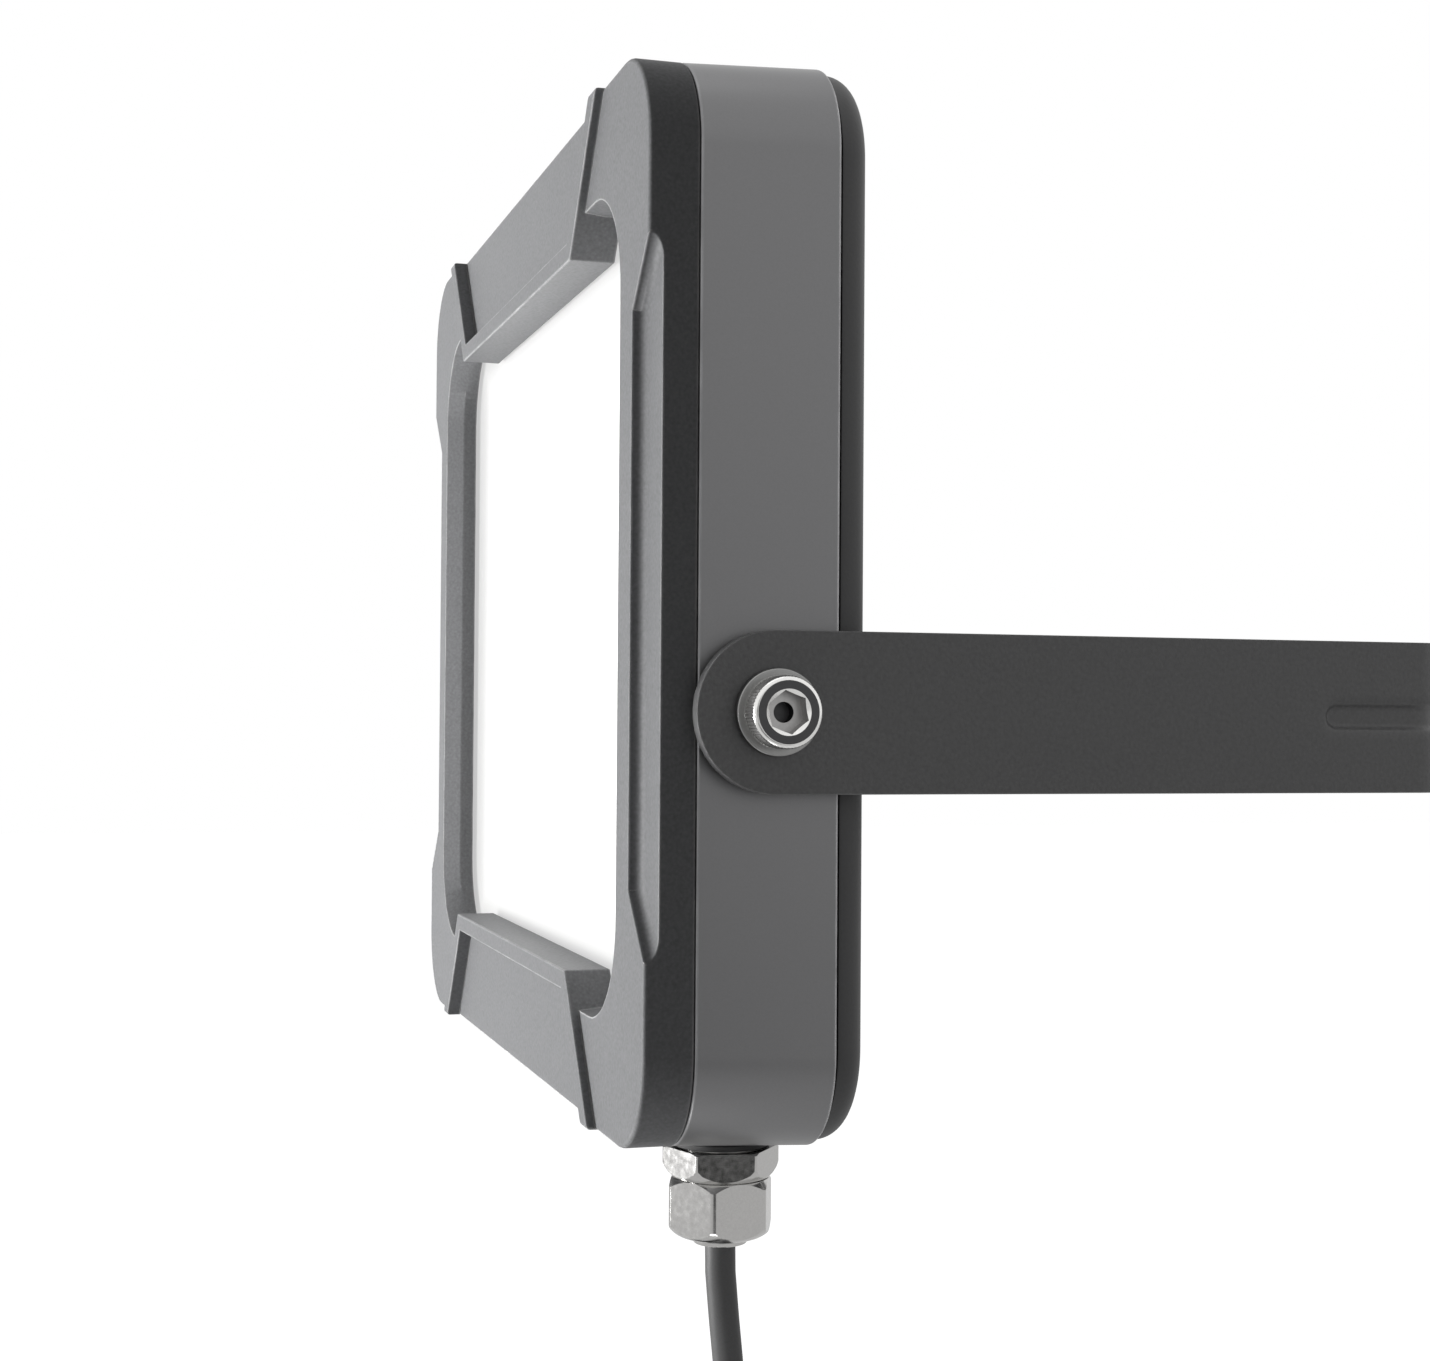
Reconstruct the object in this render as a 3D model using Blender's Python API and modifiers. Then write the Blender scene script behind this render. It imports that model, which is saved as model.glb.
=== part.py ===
"""Wall spotlight: a flat LED head that tilts on a U-shaped strap bracket.

The origin is the centre of the bracket's wall face. X runs along the width of the head,
-Y is the way the light shines, +Y goes into the wall and +Z is up. Sizes are in metres.
The head's pieces are placed from the tilt axis, which lies along X.
"""

import math

import bmesh
import bpy
from mathutils import Matrix, Vector

MM = 0.001

# Driving sizes of the head, measured from the tilt axis
HEAD_WIDTH = 246.2 * MM
HEAD_TOP = 124.0 * MM
HEAD_BOTTOM = -81.8 * MM
HEAD_CORNER = 19.5 * MM
FRONT_Y = -23.3 * MM
BEZEL_DEPTH = 9.7 * MM
HOUSING_DEPTH = 25.7 * MM
COVER_DEPTH = 6.0 * MM
HOUSING_FLARE = 1.0 * MM
COVER_INSET = 0.8 * MM
COVER_SLIT = 1.1 * MM
WALL = 4.0 * MM

# Driving sizes of the window, the front recesses and the two raised flaps
FRAME_SIDE = 21.2 * MM
FRAME_TOP = 21.4 * MM
FRAME_BOTTOM = 21.0 * MM
WINDOW_CORNER = 21.6 * MM
LENS_SET_BACK = 8.9 * MM
LENS_THICK = 3.0 * MM
LENS_OVERLAP = 8.0 * MM
RECESS_WIDE = 11.9 * MM
RECESS_DEEP = 2.8 * MM
RECESS_HALF_OUTER = 66.5 * MM
RECESS_HALF_INNER = 54.2 * MM
FLAP_FROM_SIDE = 35.7 * MM
FLAP_LEAN = 22.4 * MM
FLAP_LENGTH = 30.0 * MM
FLAP_PROUD = 1.9 * MM
FLAP_POCKET = 3.5 * MM
FLAP_SIDE_RIM = 6.0 * MM
FLAP_END_RIM = 4.2 * MM

# Driving sizes of the bracket
PIVOT_TO_WALL = 145.0 * MM
STRAP_WIDE = 30.0 * MM
STRAP_THICK = 3.0 * MM
ARM_CLEARANCE = 2.3 * MM
BEND_OUTER = 9.6 * MM
BEAD_WIDE = 4.3 * MM
BEAD_HIGH = 1.2 * MM
BEAD_RUN = 30.6 * MM
SLOT_X = 62.0 * MM
SLOT_LONG = 16.0 * MM
SLOT_WIDE = 6.5 * MM

# Driving sizes of the screws, the gland and the cord
M8 = 8.0 * MM
M4 = 4.0 * MM
PIVOT_HEAD_D = 13.3 * MM
PIVOT_HEAD_HIGH = 5.0 * MM
PIVOT_SOCKET = 6.2 * MM
PIVOT_SCREW_LONG = 16.0 * MM
WASHER_D = 16.0 * MM
WASHER_THICK = 1.6 * MM
GLAND_FROM_SIDE = 28.1 * MM
GLAND_BODY_FLATS = 20.0 * MM
GLAND_NUT_FLATS = 19.0 * MM
GLAND_THREAD = 16.0 * MM
CORD_D = 6.0 * MM
CORE_D = 2.2 * MM
COIL_TURNS = 4.25
COIL_OUTER_TURN = 41.0 * MM

# Clearances shared by all pieces
GAP = 0.3 * MM
OVERRUN = 2.0 * MM
MERGE = 0.01 * MM
AXIS_MARK = 20.0 * MM

HALF_WIDTH = HEAD_WIDTH / 2
HEAD_MID_Z = (HEAD_TOP + HEAD_BOTTOM) / 2
WINDOW_WIDTH = HEAD_WIDTH - 2 * FRAME_SIDE
WINDOW_TOP = HEAD_TOP - FRAME_TOP
WINDOW_BOTTOM = HEAD_BOTTOM + FRAME_BOTTOM
FLAP_HALF_OUTER = HALF_WIDTH - FLAP_FROM_SIDE
FLAP_HALF_INNER = FLAP_HALF_OUTER - FLAP_LEAN
ARM_INNER_X = HALF_WIDTH + ARM_CLEARANCE
GLAND_X = HALF_WIDTH - GLAND_FROM_SIDE
BEZEL_BACK = FRONT_Y + BEZEL_DEPTH
HOUSING_FRONT = BEZEL_BACK + GAP
HOUSING_BACK = HOUSING_FRONT + HOUSING_DEPTH
COVER_FRONT = HOUSING_BACK + COVER_SLIT
COVER_BACK = COVER_FRONT + COVER_DEPTH
LENS_FRONT = FRONT_Y + LENS_SET_BACK
LENS_BACK = LENS_FRONT + LENS_THICK


# Scene and helpers
for old in list(bpy.data.objects):
    bpy.data.objects.remove(old)

spotlight = bpy.data.collections.new("wall_spotlight")
cutters = bpy.data.collections.new("cutters")
cutters.hide_render = True
bpy.context.scene.collection.children.link(spotlight)
bpy.context.scene.collection.children.link(cutters)

tilt_axis = bpy.data.objects.new("tilt_axis", None)
tilt_axis.location = (0, -PIVOT_TO_WALL, 0)
tilt_axis.empty_display_size = AXIS_MARK
spotlight.objects.link(tilt_axis)


def finish(name, colour, roughness, metallic=0.0, glow=0.0):
    material = bpy.data.materials.new(name)
    material.use_nodes = True
    shader = material.node_tree.nodes["Principled BSDF"]
    shader.inputs["Base Color"].default_value = (*colour, 1)
    shader.inputs["Roughness"].default_value = roughness
    shader.inputs["Metallic"].default_value = metallic
    shader.inputs["Emission Color"].default_value = (*colour, 1)
    shader.inputs["Emission Strength"].default_value = glow
    return material


ANTHRACITE = finish("anthracite_cast", (0.20, 0.21, 0.22), 0.6)
SATIN_GREY = finish("satin_grey_housing", (0.14, 0.14, 0.145), 0.4, 0.6)
BLACK_PAINT = finish("black_textured_paint", (0.035, 0.035, 0.037), 0.65)
OPAL = finish("opal_diffuser", (0.95, 0.95, 0.93), 0.4, 0.0, 1.0)
STEEL = finish("stainless_steel", (0.62, 0.61, 0.59), 0.3, 1.0)
NICKEL = finish("nickel_plated_brass", (0.66, 0.65, 0.62), 0.25, 1.0)
BRASS = finish("brass", (0.66, 0.48, 0.22), 0.35, 1.0)
ALUMINIUM = finish("bare_aluminium", (0.72, 0.73, 0.74), 0.4, 1.0)
RUBBER = finish("black_rubber", (0.02, 0.02, 0.02), 0.8)
WHITE_SHEET = finish("white_reflector", (0.9, 0.9, 0.9), 0.5)
WHITE_BOARD = finish("white_circuit_board", (0.85, 0.86, 0.85), 0.45)
GREEN_BOARD = finish("green_circuit_board", (0.03, 0.22, 0.1), 0.4)
BLACK_PLASTIC = finish("black_plastic", (0.03, 0.03, 0.03), 0.45)
NATURAL_PLASTIC = finish("natural_nylon", (0.75, 0.74, 0.68), 0.5)
WINDING_TAPE = finish("yellow_winding_tape", (0.75, 0.55, 0.08), 0.5)
CAN_SLEEVE = finish("blue_can_sleeve", (0.05, 0.1, 0.3), 0.4)
BROWN_CORE = finish("brown_core", (0.16, 0.06, 0.02), 0.5)
BLUE_CORE = finish("blue_core", (0.03, 0.12, 0.4), 0.5)
EARTH_CORE = finish("green_yellow_core", (0.45, 0.5, 0.05), 0.5)


def cube(size, centre=(0, 0, 0)):
    bm = bmesh.new()
    bmesh.ops.create_cube(bm, size=1)
    bmesh.ops.scale(bm, vec=size, verts=bm.verts)
    bmesh.ops.translate(bm, vec=centre, verts=bm.verts)
    return bm


def round_edges_along(bm, axis, radius, steps):
    """Rounds every straight edge that runs along axis (0, 1 or 2)."""
    others = [i for i in range(3) if i != axis]
    edges = []
    for edge in bm.edges:
        run = edge.verts[1].co - edge.verts[0].co
        if abs(run[axis]) > MERGE and all(abs(run[i]) < MERGE for i in others):
            edges.append(edge)
    bmesh.ops.bevel(bm, geom=edges, offset=radius, segments=steps, profile=0.5, affect="EDGES")


def round_rim(bm, axis, level, radius, steps):
    """Rounds the edges that lie in the plane axis = level."""
    edges = [e for e in bm.edges if all(abs(v.co[axis] - level) < MERGE for v in e.verts)]
    bmesh.ops.bevel(bm, geom=edges, offset=radius, segments=steps, profile=0.5, affect="EDGES")


def rounded_block(x, y, z, corner, steps=6, axis=1):
    """A block between the limits x, y and z whose edges along axis are rounded."""
    limits = (x, y, z)
    size = [high - low for low, high in limits]
    centre = [(high + low) / 2 for low, high in limits]
    bm = cube(size, centre)
    if corner:
        round_edges_along(bm, axis, corner, steps)
    return bm


def prism(outline, axis, low, high):
    """A straight prism over a flat outline of (u, v) points, from low to high along axis."""
    bm = bmesh.new()
    places = {0: lambda u, v, w: (w, u, v), 1: lambda u, v, w: (u, w, v), 2: lambda u, v, w: (u, v, w)}
    ring = [bm.verts.new(places[axis](u, v, low)) for u, v in outline]
    face = bm.faces.new(ring)
    grown = bmesh.ops.extrude_face_region(bm, geom=[face])["geom"]
    step = [0.0, 0.0, 0.0]
    step[axis] = high - low
    bmesh.ops.translate(bm, vec=step, verts=[g for g in grown if isinstance(g, bmesh.types.BMVert)])
    bmesh.ops.recalc_face_normals(bm, faces=bm.faces)
    return bm


def rod(radius, low, high, axis, centre, sides=24, tip=None):
    """A cylinder, or a cone with the radius tip at its high end, along axis through centre."""
    bm = bmesh.new()
    end = radius if tip is None else tip
    bmesh.ops.create_cone(
        bm, cap_ends=True, segments=sides, radius1=radius, radius2=end, depth=high - low
    )
    bmesh.ops.translate(bm, vec=(0, 0, (low + high) / 2), verts=bm.verts)
    if axis == 0:
        bmesh.ops.rotate(bm, matrix=Matrix.Rotation(math.pi / 2, 3, "Y"), verts=bm.verts)
    elif axis == 1:
        bmesh.ops.rotate(bm, matrix=Matrix.Rotation(-math.pi / 2, 3, "X"), verts=bm.verts)
    bmesh.ops.translate(bm, vec=centre, verts=bm.verts)
    return bm


def hex_rod(flats, low, high, axis, centre, turn=0.0):
    """A hexagonal bar with a flat towards +X, or turned from there about its own axis."""
    bm = rod(flats / math.sqrt(3), low, high, axis, (0, 0, 0), sides=6)
    spin = Matrix.Rotation(turn, 3, "XYZ"[axis])
    bmesh.ops.rotate(bm, matrix=spin, verts=bm.verts)
    bmesh.ops.translate(bm, vec=centre, verts=bm.verts)
    return bm


def as_object(name, bm, collection, parent):
    mesh = bpy.data.meshes.new(name)
    bm.to_mesh(mesh)
    bm.free()
    obj = bpy.data.objects.new(name, mesh)
    collection.objects.link(obj)
    obj.parent = parent
    return obj


def piece(name, bm, material, parent=tilt_axis, smooth=True):
    """One real piece of the spotlight, as an object of its own."""
    obj = as_object(name, bm, spotlight, parent)
    obj.data.materials.append(material)
    if smooth:
        obj.data.shade_smooth()
        obj.data.set_sharp_from_angle(angle=math.radians(35))
    return obj


def tool(bm, parent=tilt_axis):
    """A shape that cuts or joins a piece and isn't a piece itself."""
    obj = as_object("cutter", bm, cutters, parent)
    obj.hide_render = True
    obj.display_type = "WIRE"
    return obj


def boolean(target, operation, *shapes, parent=tilt_axis):
    for bm in shapes:
        modifier = target.modifiers.new(operation.lower(), "BOOLEAN")
        modifier.operation = operation
        modifier.solver = "EXACT"
        modifier.object = tool(bm, parent)


def cut(target, *shapes, parent=tilt_axis):
    boolean(target, "DIFFERENCE", *shapes, parent=parent)


def join(target, *shapes, parent=tilt_axis):
    boolean(target, "UNION", *shapes, parent=parent)


def turned(name, profile, material, axis, centre, sides=24, parent=tilt_axis, ring=False):
    """A turned piece: profile holds (radius, height) points, top to bottom down the outside."""
    mesh = bpy.data.meshes.new(name)
    points = [(radius, 0, height) for radius, height in profile]
    edges = [(i, i + 1) for i in range(len(points) - 1)]
    if ring:
        edges.append((len(points) - 1, 0))
    mesh.from_pydata(points, edges, [])
    obj = bpy.data.objects.new(name, mesh)
    spotlight.objects.link(obj)
    obj.parent = parent
    obj.location = centre
    turns = {0: (0, math.pi / 2, 0), 1: (-math.pi / 2, 0, 0), 2: (0, 0, 0), -1: (0, -math.pi / 2, 0)}
    obj.rotation_euler = turns[axis]
    obj.data.materials.append(material)
    screw = obj.modifiers.new("turn", "SCREW")
    screw.steps = sides
    screw.render_steps = sides
    screw.use_merge_vertices = True
    screw.merge_threshold = MERGE
    screw.use_smooth_shade = True
    return obj


def washer_ring(name, outer, inner, low, high, material, axis, centre, sides=24):
    """A flat ring between the heights low and high."""
    profile = [(inner, high), (outer, high), (outer, low), (inner, low)]
    return turned(name, profile, material, axis, centre, sides, ring=True)


def tube(name, points, radius, material, resolution=2, parent=tilt_axis):
    """A round wire or cord through points."""
    data = bpy.data.curves.new(name, "CURVE")
    data.dimensions = "3D"
    data.bevel_depth = radius
    data.bevel_resolution = resolution
    data.use_fill_caps = True
    spline = data.splines.new("POLY")
    spline.points.add(len(points) - 1)
    for place, point in zip(spline.points, points):
        place.co = (*point, 1)
    data.materials.append(material)
    obj = bpy.data.objects.new(name, data)
    spotlight.objects.link(obj)
    obj.parent = parent
    return obj


def smooth_route(route, count):
    """count + 1 points of a smooth curve that passes through every point of route."""
    nodes = [Vector(p) for p in route]
    nodes = [2 * nodes[0] - nodes[1]] + nodes + [2 * nodes[-1] - nodes[-2]]
    spans = len(route) - 1
    points = []
    for i in range(count + 1):
        place = i / count * spans
        k = min(int(place), spans - 1)
        t = place - k
        a, b, c, d = nodes[k : k + 4]
        linear = c - a
        square = 2 * a - 5 * b + 4 * c - d
        cubic = 3 * b - a - 3 * c + d
        points.append((2 * b + linear * t + square * t**2 + cubic * t**3) / 2)
    return points


def joined_mesh(parts):
    """One mesh of several separate closed bodies."""
    whole = bmesh.new()
    for bm in parts:
        held = bpy.data.meshes.new("held")
        bm.to_mesh(held)
        bm.free()
        whole.from_mesh(held)
        bpy.data.meshes.remove(held)
    return whole


# Places of the fixing screws, shared by the pieces that they clamp
CORNER_LUG_OUT = 8.4 * MM
LUG_RADIUS = 4.5 * MM
LUG_EDGE = 7.4 * MM
corner_x = HALF_WIDTH - HEAD_CORNER + CORNER_LUG_OUT
corner_top = HEAD_TOP - HEAD_CORNER + CORNER_LUG_OUT
corner_bottom = HEAD_BOTTOM + HEAD_CORNER - CORNER_LUG_OUT
CASE_SCREWS = [
    (-corner_x, corner_top),
    (0, HEAD_TOP - LUG_EDGE),
    (corner_x, corner_top),
    (-corner_x, corner_bottom),
    (0, HEAD_BOTTOM + LUG_EDGE),
    (corner_x, corner_bottom),
]
MODULE_INSET = 7.0 * MM
MODULE_FROM_SIDE = 33.9 * MM
MODULE_X = WINDOW_WIDTH / 2 - MODULE_FROM_SIDE
MODULE_TOP = WINDOW_TOP - MODULE_INSET
MODULE_BOTTOM = WINDOW_BOTTOM + MODULE_INSET
MODULE_SCREWS = [(x, z) for x in (-MODULE_X, MODULE_X) for z in (MODULE_TOP, MODULE_BOTTOM)]
SCREW_HOLE = M4 / 2 + GAP


def head_outline(y, grow=0.0, corner=HEAD_CORNER, steps=6):
    """A block with the head's outline, grown on every side, between the two depths in y."""
    return rounded_block(
        (-HALF_WIDTH - grow, HALF_WIDTH + grow),
        y,
        (HEAD_BOTTOM - grow, HEAD_TOP + grow),
        corner,
        steps,
    )


def window_outline(y, grow=0.0, steps=6):
    half = WINDOW_WIDTH / 2 + grow
    return rounded_block(
        (-half, half),
        y,
        (WINDOW_BOTTOM - grow, WINDOW_TOP + grow),
        WINDOW_CORNER + min(grow, 0),
        steps,
    )


def drills(places, radius, low, high, sides=12):
    return joined_mesh([rod(radius, low, high, 1, (x, 0, z), sides) for x, z in places])


# Front bezel: one casting with the window, two side recesses and two raised flaps
BEZEL_EDGE = 1.0 * MM
LENS_GASKET_ROOM = 1.0 * MM
LENS_GASKET_INSET = 1.0 * MM
LENS_GASKET_PAST_WINDOW = 1.5 * MM
SCREW_HOLE_SKIN = 2.6 * MM
SCREW_END_SKIN = 3.4 * MM
RABBET_BACK = LENS_FRONT - LENS_GASKET_ROOM
RABBET_GROW = -11.0 * MM
COVE = 1.2 * MM
GROOVE_OUT = -1.0 * MM
GROOVE_IN = -3.2 * MM
GROOVE_DEEP = 1.3 * MM


def flap_outline(side, inset=0.0, end_inset=0.0, beyond=0.0):
    """The flap's trapezium, side +1 at the top and -1 at the bottom, wide at the outer edge."""
    edge = HEAD_TOP if side > 0 else HEAD_BOTTOM
    lean = FLAP_LEAN / FLAP_LENGTH
    near = -beyond
    far = FLAP_LENGTH - end_inset
    outline = [
        (-(FLAP_HALF_OUTER - inset - lean * near), edge - side * near),
        (-(FLAP_HALF_OUTER - inset - lean * far), edge - side * far),
        (FLAP_HALF_OUTER - inset - lean * far, edge - side * far),
        (FLAP_HALF_OUTER - inset - lean * near, edge - side * near),
    ]
    return outline


def recess_cutter(side):
    """The shallow recess along one side of the front, with a coved inner wall."""
    outer = side * (HALF_WIDTH + OVERRUN)
    inner = side * (HALF_WIDTH - RECESS_WIDE)
    reach = (RECESS_HALF_OUTER - RECESS_HALF_INNER) / RECESS_WIDE * (RECESS_WIDE + OVERRUN)
    half = RECESS_HALF_INNER + reach
    outline = [
        (outer, HEAD_MID_Z - half),
        (inner, HEAD_MID_Z - RECESS_HALF_INNER),
        (inner, HEAD_MID_Z + RECESS_HALF_INNER),
        (outer, HEAD_MID_Z + half),
    ]
    floor = FRONT_Y + RECESS_DEEP
    bm = prism(outline, 1, FRONT_Y - OVERRUN, floor)
    edges = [
        e
        for e in bm.edges
        if all(abs(v.co.y - floor) < MERGE for v in e.verts)
        and not all(abs(v.co.x - outer) < MERGE for v in e.verts)
    ]
    bmesh.ops.bevel(bm, geom=edges, offset=COVE, segments=2, profile=0.5, affect="EDGES")
    return bm


bezel_block = head_outline((FRONT_Y, BEZEL_BACK))
round_rim(bezel_block, 1, FRONT_Y, BEZEL_EDGE, 2)
front_bezel = piece("front_bezel", bezel_block, ANTHRACITE)
groove_floor = BEZEL_BACK - GROOVE_DEEP
cut(front_bezel, head_outline((groove_floor, BEZEL_BACK + OVERRUN), GROOVE_OUT, HEAD_CORNER + GROOVE_OUT))
join(front_bezel, head_outline((groove_floor - OVERRUN, BEZEL_BACK), GROOVE_IN, HEAD_CORNER + GROOVE_IN))
cut(front_bezel, window_outline((FRONT_Y - OVERRUN, BEZEL_BACK + OVERRUN)))
cut(front_bezel, head_outline((RABBET_BACK, BEZEL_BACK + OVERRUN), RABBET_GROW, HEAD_CORNER + RABBET_GROW))
for side in (1, -1):
    flap_front = FRONT_Y - FLAP_PROUD
    join(front_bezel, prism(flap_outline(side, beyond=-GAP), 1, flap_front, RABBET_BACK))
    pocket = flap_outline(side, FLAP_SIDE_RIM, FLAP_END_RIM, OVERRUN)
    cut(front_bezel, prism(pocket, 1, flap_front - OVERRUN, flap_front + FLAP_POCKET))
    cut(front_bezel, recess_cutter(side))
cut(front_bezel, drills(CASE_SCREWS, SCREW_HOLE, FRONT_Y + SCREW_HOLE_SKIN, BEZEL_BACK + OVERRUN))

# Seal between bezel and housing, lying in the groove
bezel_gasket = piece(
    "bezel_gasket",
    head_outline((groove_floor + GAP, BEZEL_BACK), GROOVE_OUT - GAP, HEAD_CORNER + GROOVE_OUT - GAP),
    RUBBER,
)
seal_hole = GROOVE_IN + GAP
cut(
    bezel_gasket,
    head_outline((groove_floor - OVERRUN, BEZEL_BACK + OVERRUN), seal_hole, HEAD_CORNER + seal_hole),
)

# Opal diffuser and the flat gasket in front of it
lens_gasket = piece(
    "lens_gasket",
    window_outline((RABBET_BACK + GAP, LENS_FRONT - GAP), LENS_OVERLAP - LENS_GASKET_INSET),
    RUBBER,
)
cut(lens_gasket, window_outline((FRONT_Y, LENS_BACK), LENS_GASKET_PAST_WINDOW))
diffuser_lens = piece("diffuser_lens", window_outline((LENS_FRONT, LENS_BACK), LENS_OVERLAP), OPAL)

# Housing ring: a deep extruded and machined frame that carries everything else
HOUSING_BACK_EDGE = 1.2 * MM
BOSS_DEEP = 12.6 * MM
BOSS_INNER_X = HALF_WIDTH - BOSS_DEEP
BOSS_HALF_Y = 9.0 * MM
BOSS_HALF_Z = 11.0 * MM
INSERT_RADIUS = 5.5 * MM
PAD_HALF_X = 5.0 * MM
PAD_PAST_SCREW = 4.5 * MM
SPREADER_BACK = 2.7 * MM
PAD_FRONT = SPREADER_BACK + GAP
PAD_DEEP = 6.0 * MM
INNER_CORNER = HEAD_CORNER - WALL

housing_block = head_outline((HOUSING_FRONT, HOUSING_BACK))
for vert in housing_block.verts:
    if vert.co.y > 0:
        vert.co.x += math.copysign(HOUSING_FLARE, vert.co.x)
        vert.co.z += math.copysign(HOUSING_FLARE, vert.co.z - HEAD_MID_Z)
round_rim(housing_block, 1, HOUSING_BACK, HOUSING_BACK_EDGE, 2)
housing_ring = piece("housing_ring", housing_block, SATIN_GREY)
cut(housing_ring, head_outline((HOUSING_FRONT - OVERRUN, HOUSING_BACK + OVERRUN), -WALL, INNER_CORNER))
lugs = [rod(LUG_RADIUS, HOUSING_FRONT, HOUSING_BACK, 1, (x, 0, z), 12) for x, z in CASE_SCREWS]
join(housing_ring, *lugs)
for x, z in MODULE_SCREWS:
    wall_z = HEAD_TOP if z > HEAD_MID_Z else HEAD_BOTTOM
    tip_z = z - math.copysign(PAD_PAST_SCREW, wall_z)
    root_z = wall_z - math.copysign(WALL / 2, wall_z)
    pad = rounded_block(
        (x - PAD_HALF_X, x + PAD_HALF_X),
        (PAD_FRONT, PAD_FRONT + PAD_DEEP),
        (min(tip_z, root_z), max(tip_z, root_z)),
        0,
    )
    join(housing_ring, pad)
for side in (1, -1):
    near, far = sorted((side * BOSS_INNER_X, side * (HALF_WIDTH - WALL / 2)))
    join(
        housing_ring,
        rounded_block((near, far), (-BOSS_HALF_Y, BOSS_HALF_Y), (-BOSS_HALF_Z, BOSS_HALF_Z), 0),
    )
    low, high = sorted((side * (BOSS_INNER_X - OVERRUN), side * (HALF_WIDTH - GAP)))
    cut(housing_ring, rod(INSERT_RADIUS + GAP, low, high, 0, (0, 0, 0), 16))
    low, high = sorted((side * (HALF_WIDTH - OVERRUN), side * (HALF_WIDTH + OVERRUN)))
    cut(housing_ring, rod(M8 / 2 + GAP, low, high, 0, (0, 0, 0), 16))
cut(housing_ring, drills(CASE_SCREWS, SCREW_HOLE, HOUSING_FRONT - OVERRUN, HOUSING_BACK + OVERRUN))
cut(housing_ring, drills(MODULE_SCREWS, SCREW_HOLE, PAD_FRONT - OVERRUN, PAD_FRONT + PAD_DEEP + OVERRUN))
gland_hole = rod(
    GLAND_THREAD / 2 + GAP,
    HEAD_BOTTOM - HOUSING_FLARE - OVERRUN,
    HEAD_BOTTOM + WALL + OVERRUN,
    2,
    (GLAND_X, 0, 0),
    20,
)
cut(housing_ring, gland_hole)

# Rear cover with its gasket in the dark slit
COVER_BACK_EDGE = 4.2 * MM
COVER_SHEET = 2.5 * MM
GASKET_INSET = 1.8 * MM
GASKET_WIDE = 3.6 * MM
GASKET_THICK = COVER_SLIT - 2 * GAP
COVER_LUG_RADIUS = 5.5 * MM
HEAD_M4_RADIUS = 3.5 * MM
HEAD_M4_HIGH = 2.6 * MM
cover_grow = HOUSING_FLARE - COVER_INSET
gasket_grow = HOUSING_FLARE - GASKET_INSET

cover_block = head_outline((COVER_FRONT, COVER_BACK), cover_grow)
round_rim(cover_block, 1, COVER_BACK, COVER_BACK_EDGE, 4)
rear_cover = piece("rear_cover", cover_block, BLACK_PAINT)
hollow_grow = -WALL
cut(
    rear_cover,
    head_outline((COVER_FRONT - OVERRUN, COVER_BACK - COVER_SHEET), hollow_grow, HEAD_CORNER - WALL),
)
join(
    rear_cover,
    *[
        rod(COVER_LUG_RADIUS, COVER_FRONT, COVER_BACK - COVER_SHEET / 2, 1, (x, 0, z), 12)
        for x, z in CASE_SCREWS
    ],
)
head_seat = COVER_BACK - HEAD_M4_HIGH - GAP
cut(rear_cover, drills(CASE_SCREWS, SCREW_HOLE, COVER_FRONT - OVERRUN, COVER_BACK + OVERRUN))
cut(rear_cover, drills(CASE_SCREWS, HEAD_M4_RADIUS + GAP, head_seat, COVER_BACK + OVERRUN, 16))
gasket_y = (HOUSING_BACK + GAP, HOUSING_BACK + GAP + GASKET_THICK)
rear_cover_gasket = piece("rear_cover_gasket", head_outline(gasket_y, gasket_grow), RUBBER)
cut(
    rear_cover_gasket,
    head_outline(
        (HOUSING_BACK - OVERRUN, COVER_FRONT + OVERRUN),
        gasket_grow - GASKET_WIDE,
        HEAD_CORNER - GASKET_WIDE,
    ),
)


SOCKET_DEPTH_SHARE = 0.7


def cap_screw(name, place, shank_end, seat, radius, head_radius, head_high, socket, facing):
    """A socket screw along Y. Its head faces +Y when facing is +1, and -Y when it is -1."""
    x, z = place
    top = seat + facing * head_high
    low, high = sorted((shank_end, seat + facing * head_high / 2))
    screw = piece(name, rod(radius, low, high, 1, (x, 0, z), 10), STEEL)
    low, high = sorted((seat, top))
    join(screw, rod(head_radius, low, high, 1, (x, 0, z), 14))
    low, high = sorted((top - facing * socket * SOCKET_DEPTH_SHARE, top + facing * OVERRUN))
    cut(screw, hex_rod(socket, low, high, 1, (x, 0, z)))
    return screw


M4_SOCKET = 2.5 * MM
for number, place in enumerate(CASE_SCREWS, 1):
    cap_screw(
        f"case_screw_{number}",
        place,
        FRONT_Y + SCREW_END_SKIN,
        head_seat + GAP,
        M4 / 2,
        HEAD_M4_RADIUS,
        HEAD_M4_HIGH - GAP,
        M4_SOCKET,
        1,
    )

# Light module: reflector tray, LED board, chips and heat spreader, clamped by four screws
TRAY_INSET = 1.4 * MM
TRAY_GROW = LENS_OVERLAP - TRAY_INSET
TRAY_SHEET = 1.2 * MM
TRAY_BACK = -2.5 * MM
TRAY_FLOOR = 1.0 * MM
FLOOR_OPENING = -11.5 * MM
BOARD_FRONT = TRAY_BACK + GAP
BOARD_THICK = 1.6 * MM
BOARD_GROW = -4.4 * MM
SPREADER_GROW = -2.4 * MM
SPREADER_FRONT = BOARD_FRONT + BOARD_THICK + GAP
CHIP = 3.0 * MM
CHIP_HIGH = 0.7 * MM
CHIP_COLUMNS = 6
CHIP_ROWS = 4
CHIP_MARGIN = 24.0 * MM
LEAD_FROM_SIDE = 71.9 * MM
LEAD_DROP = 18.9 * MM
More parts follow.
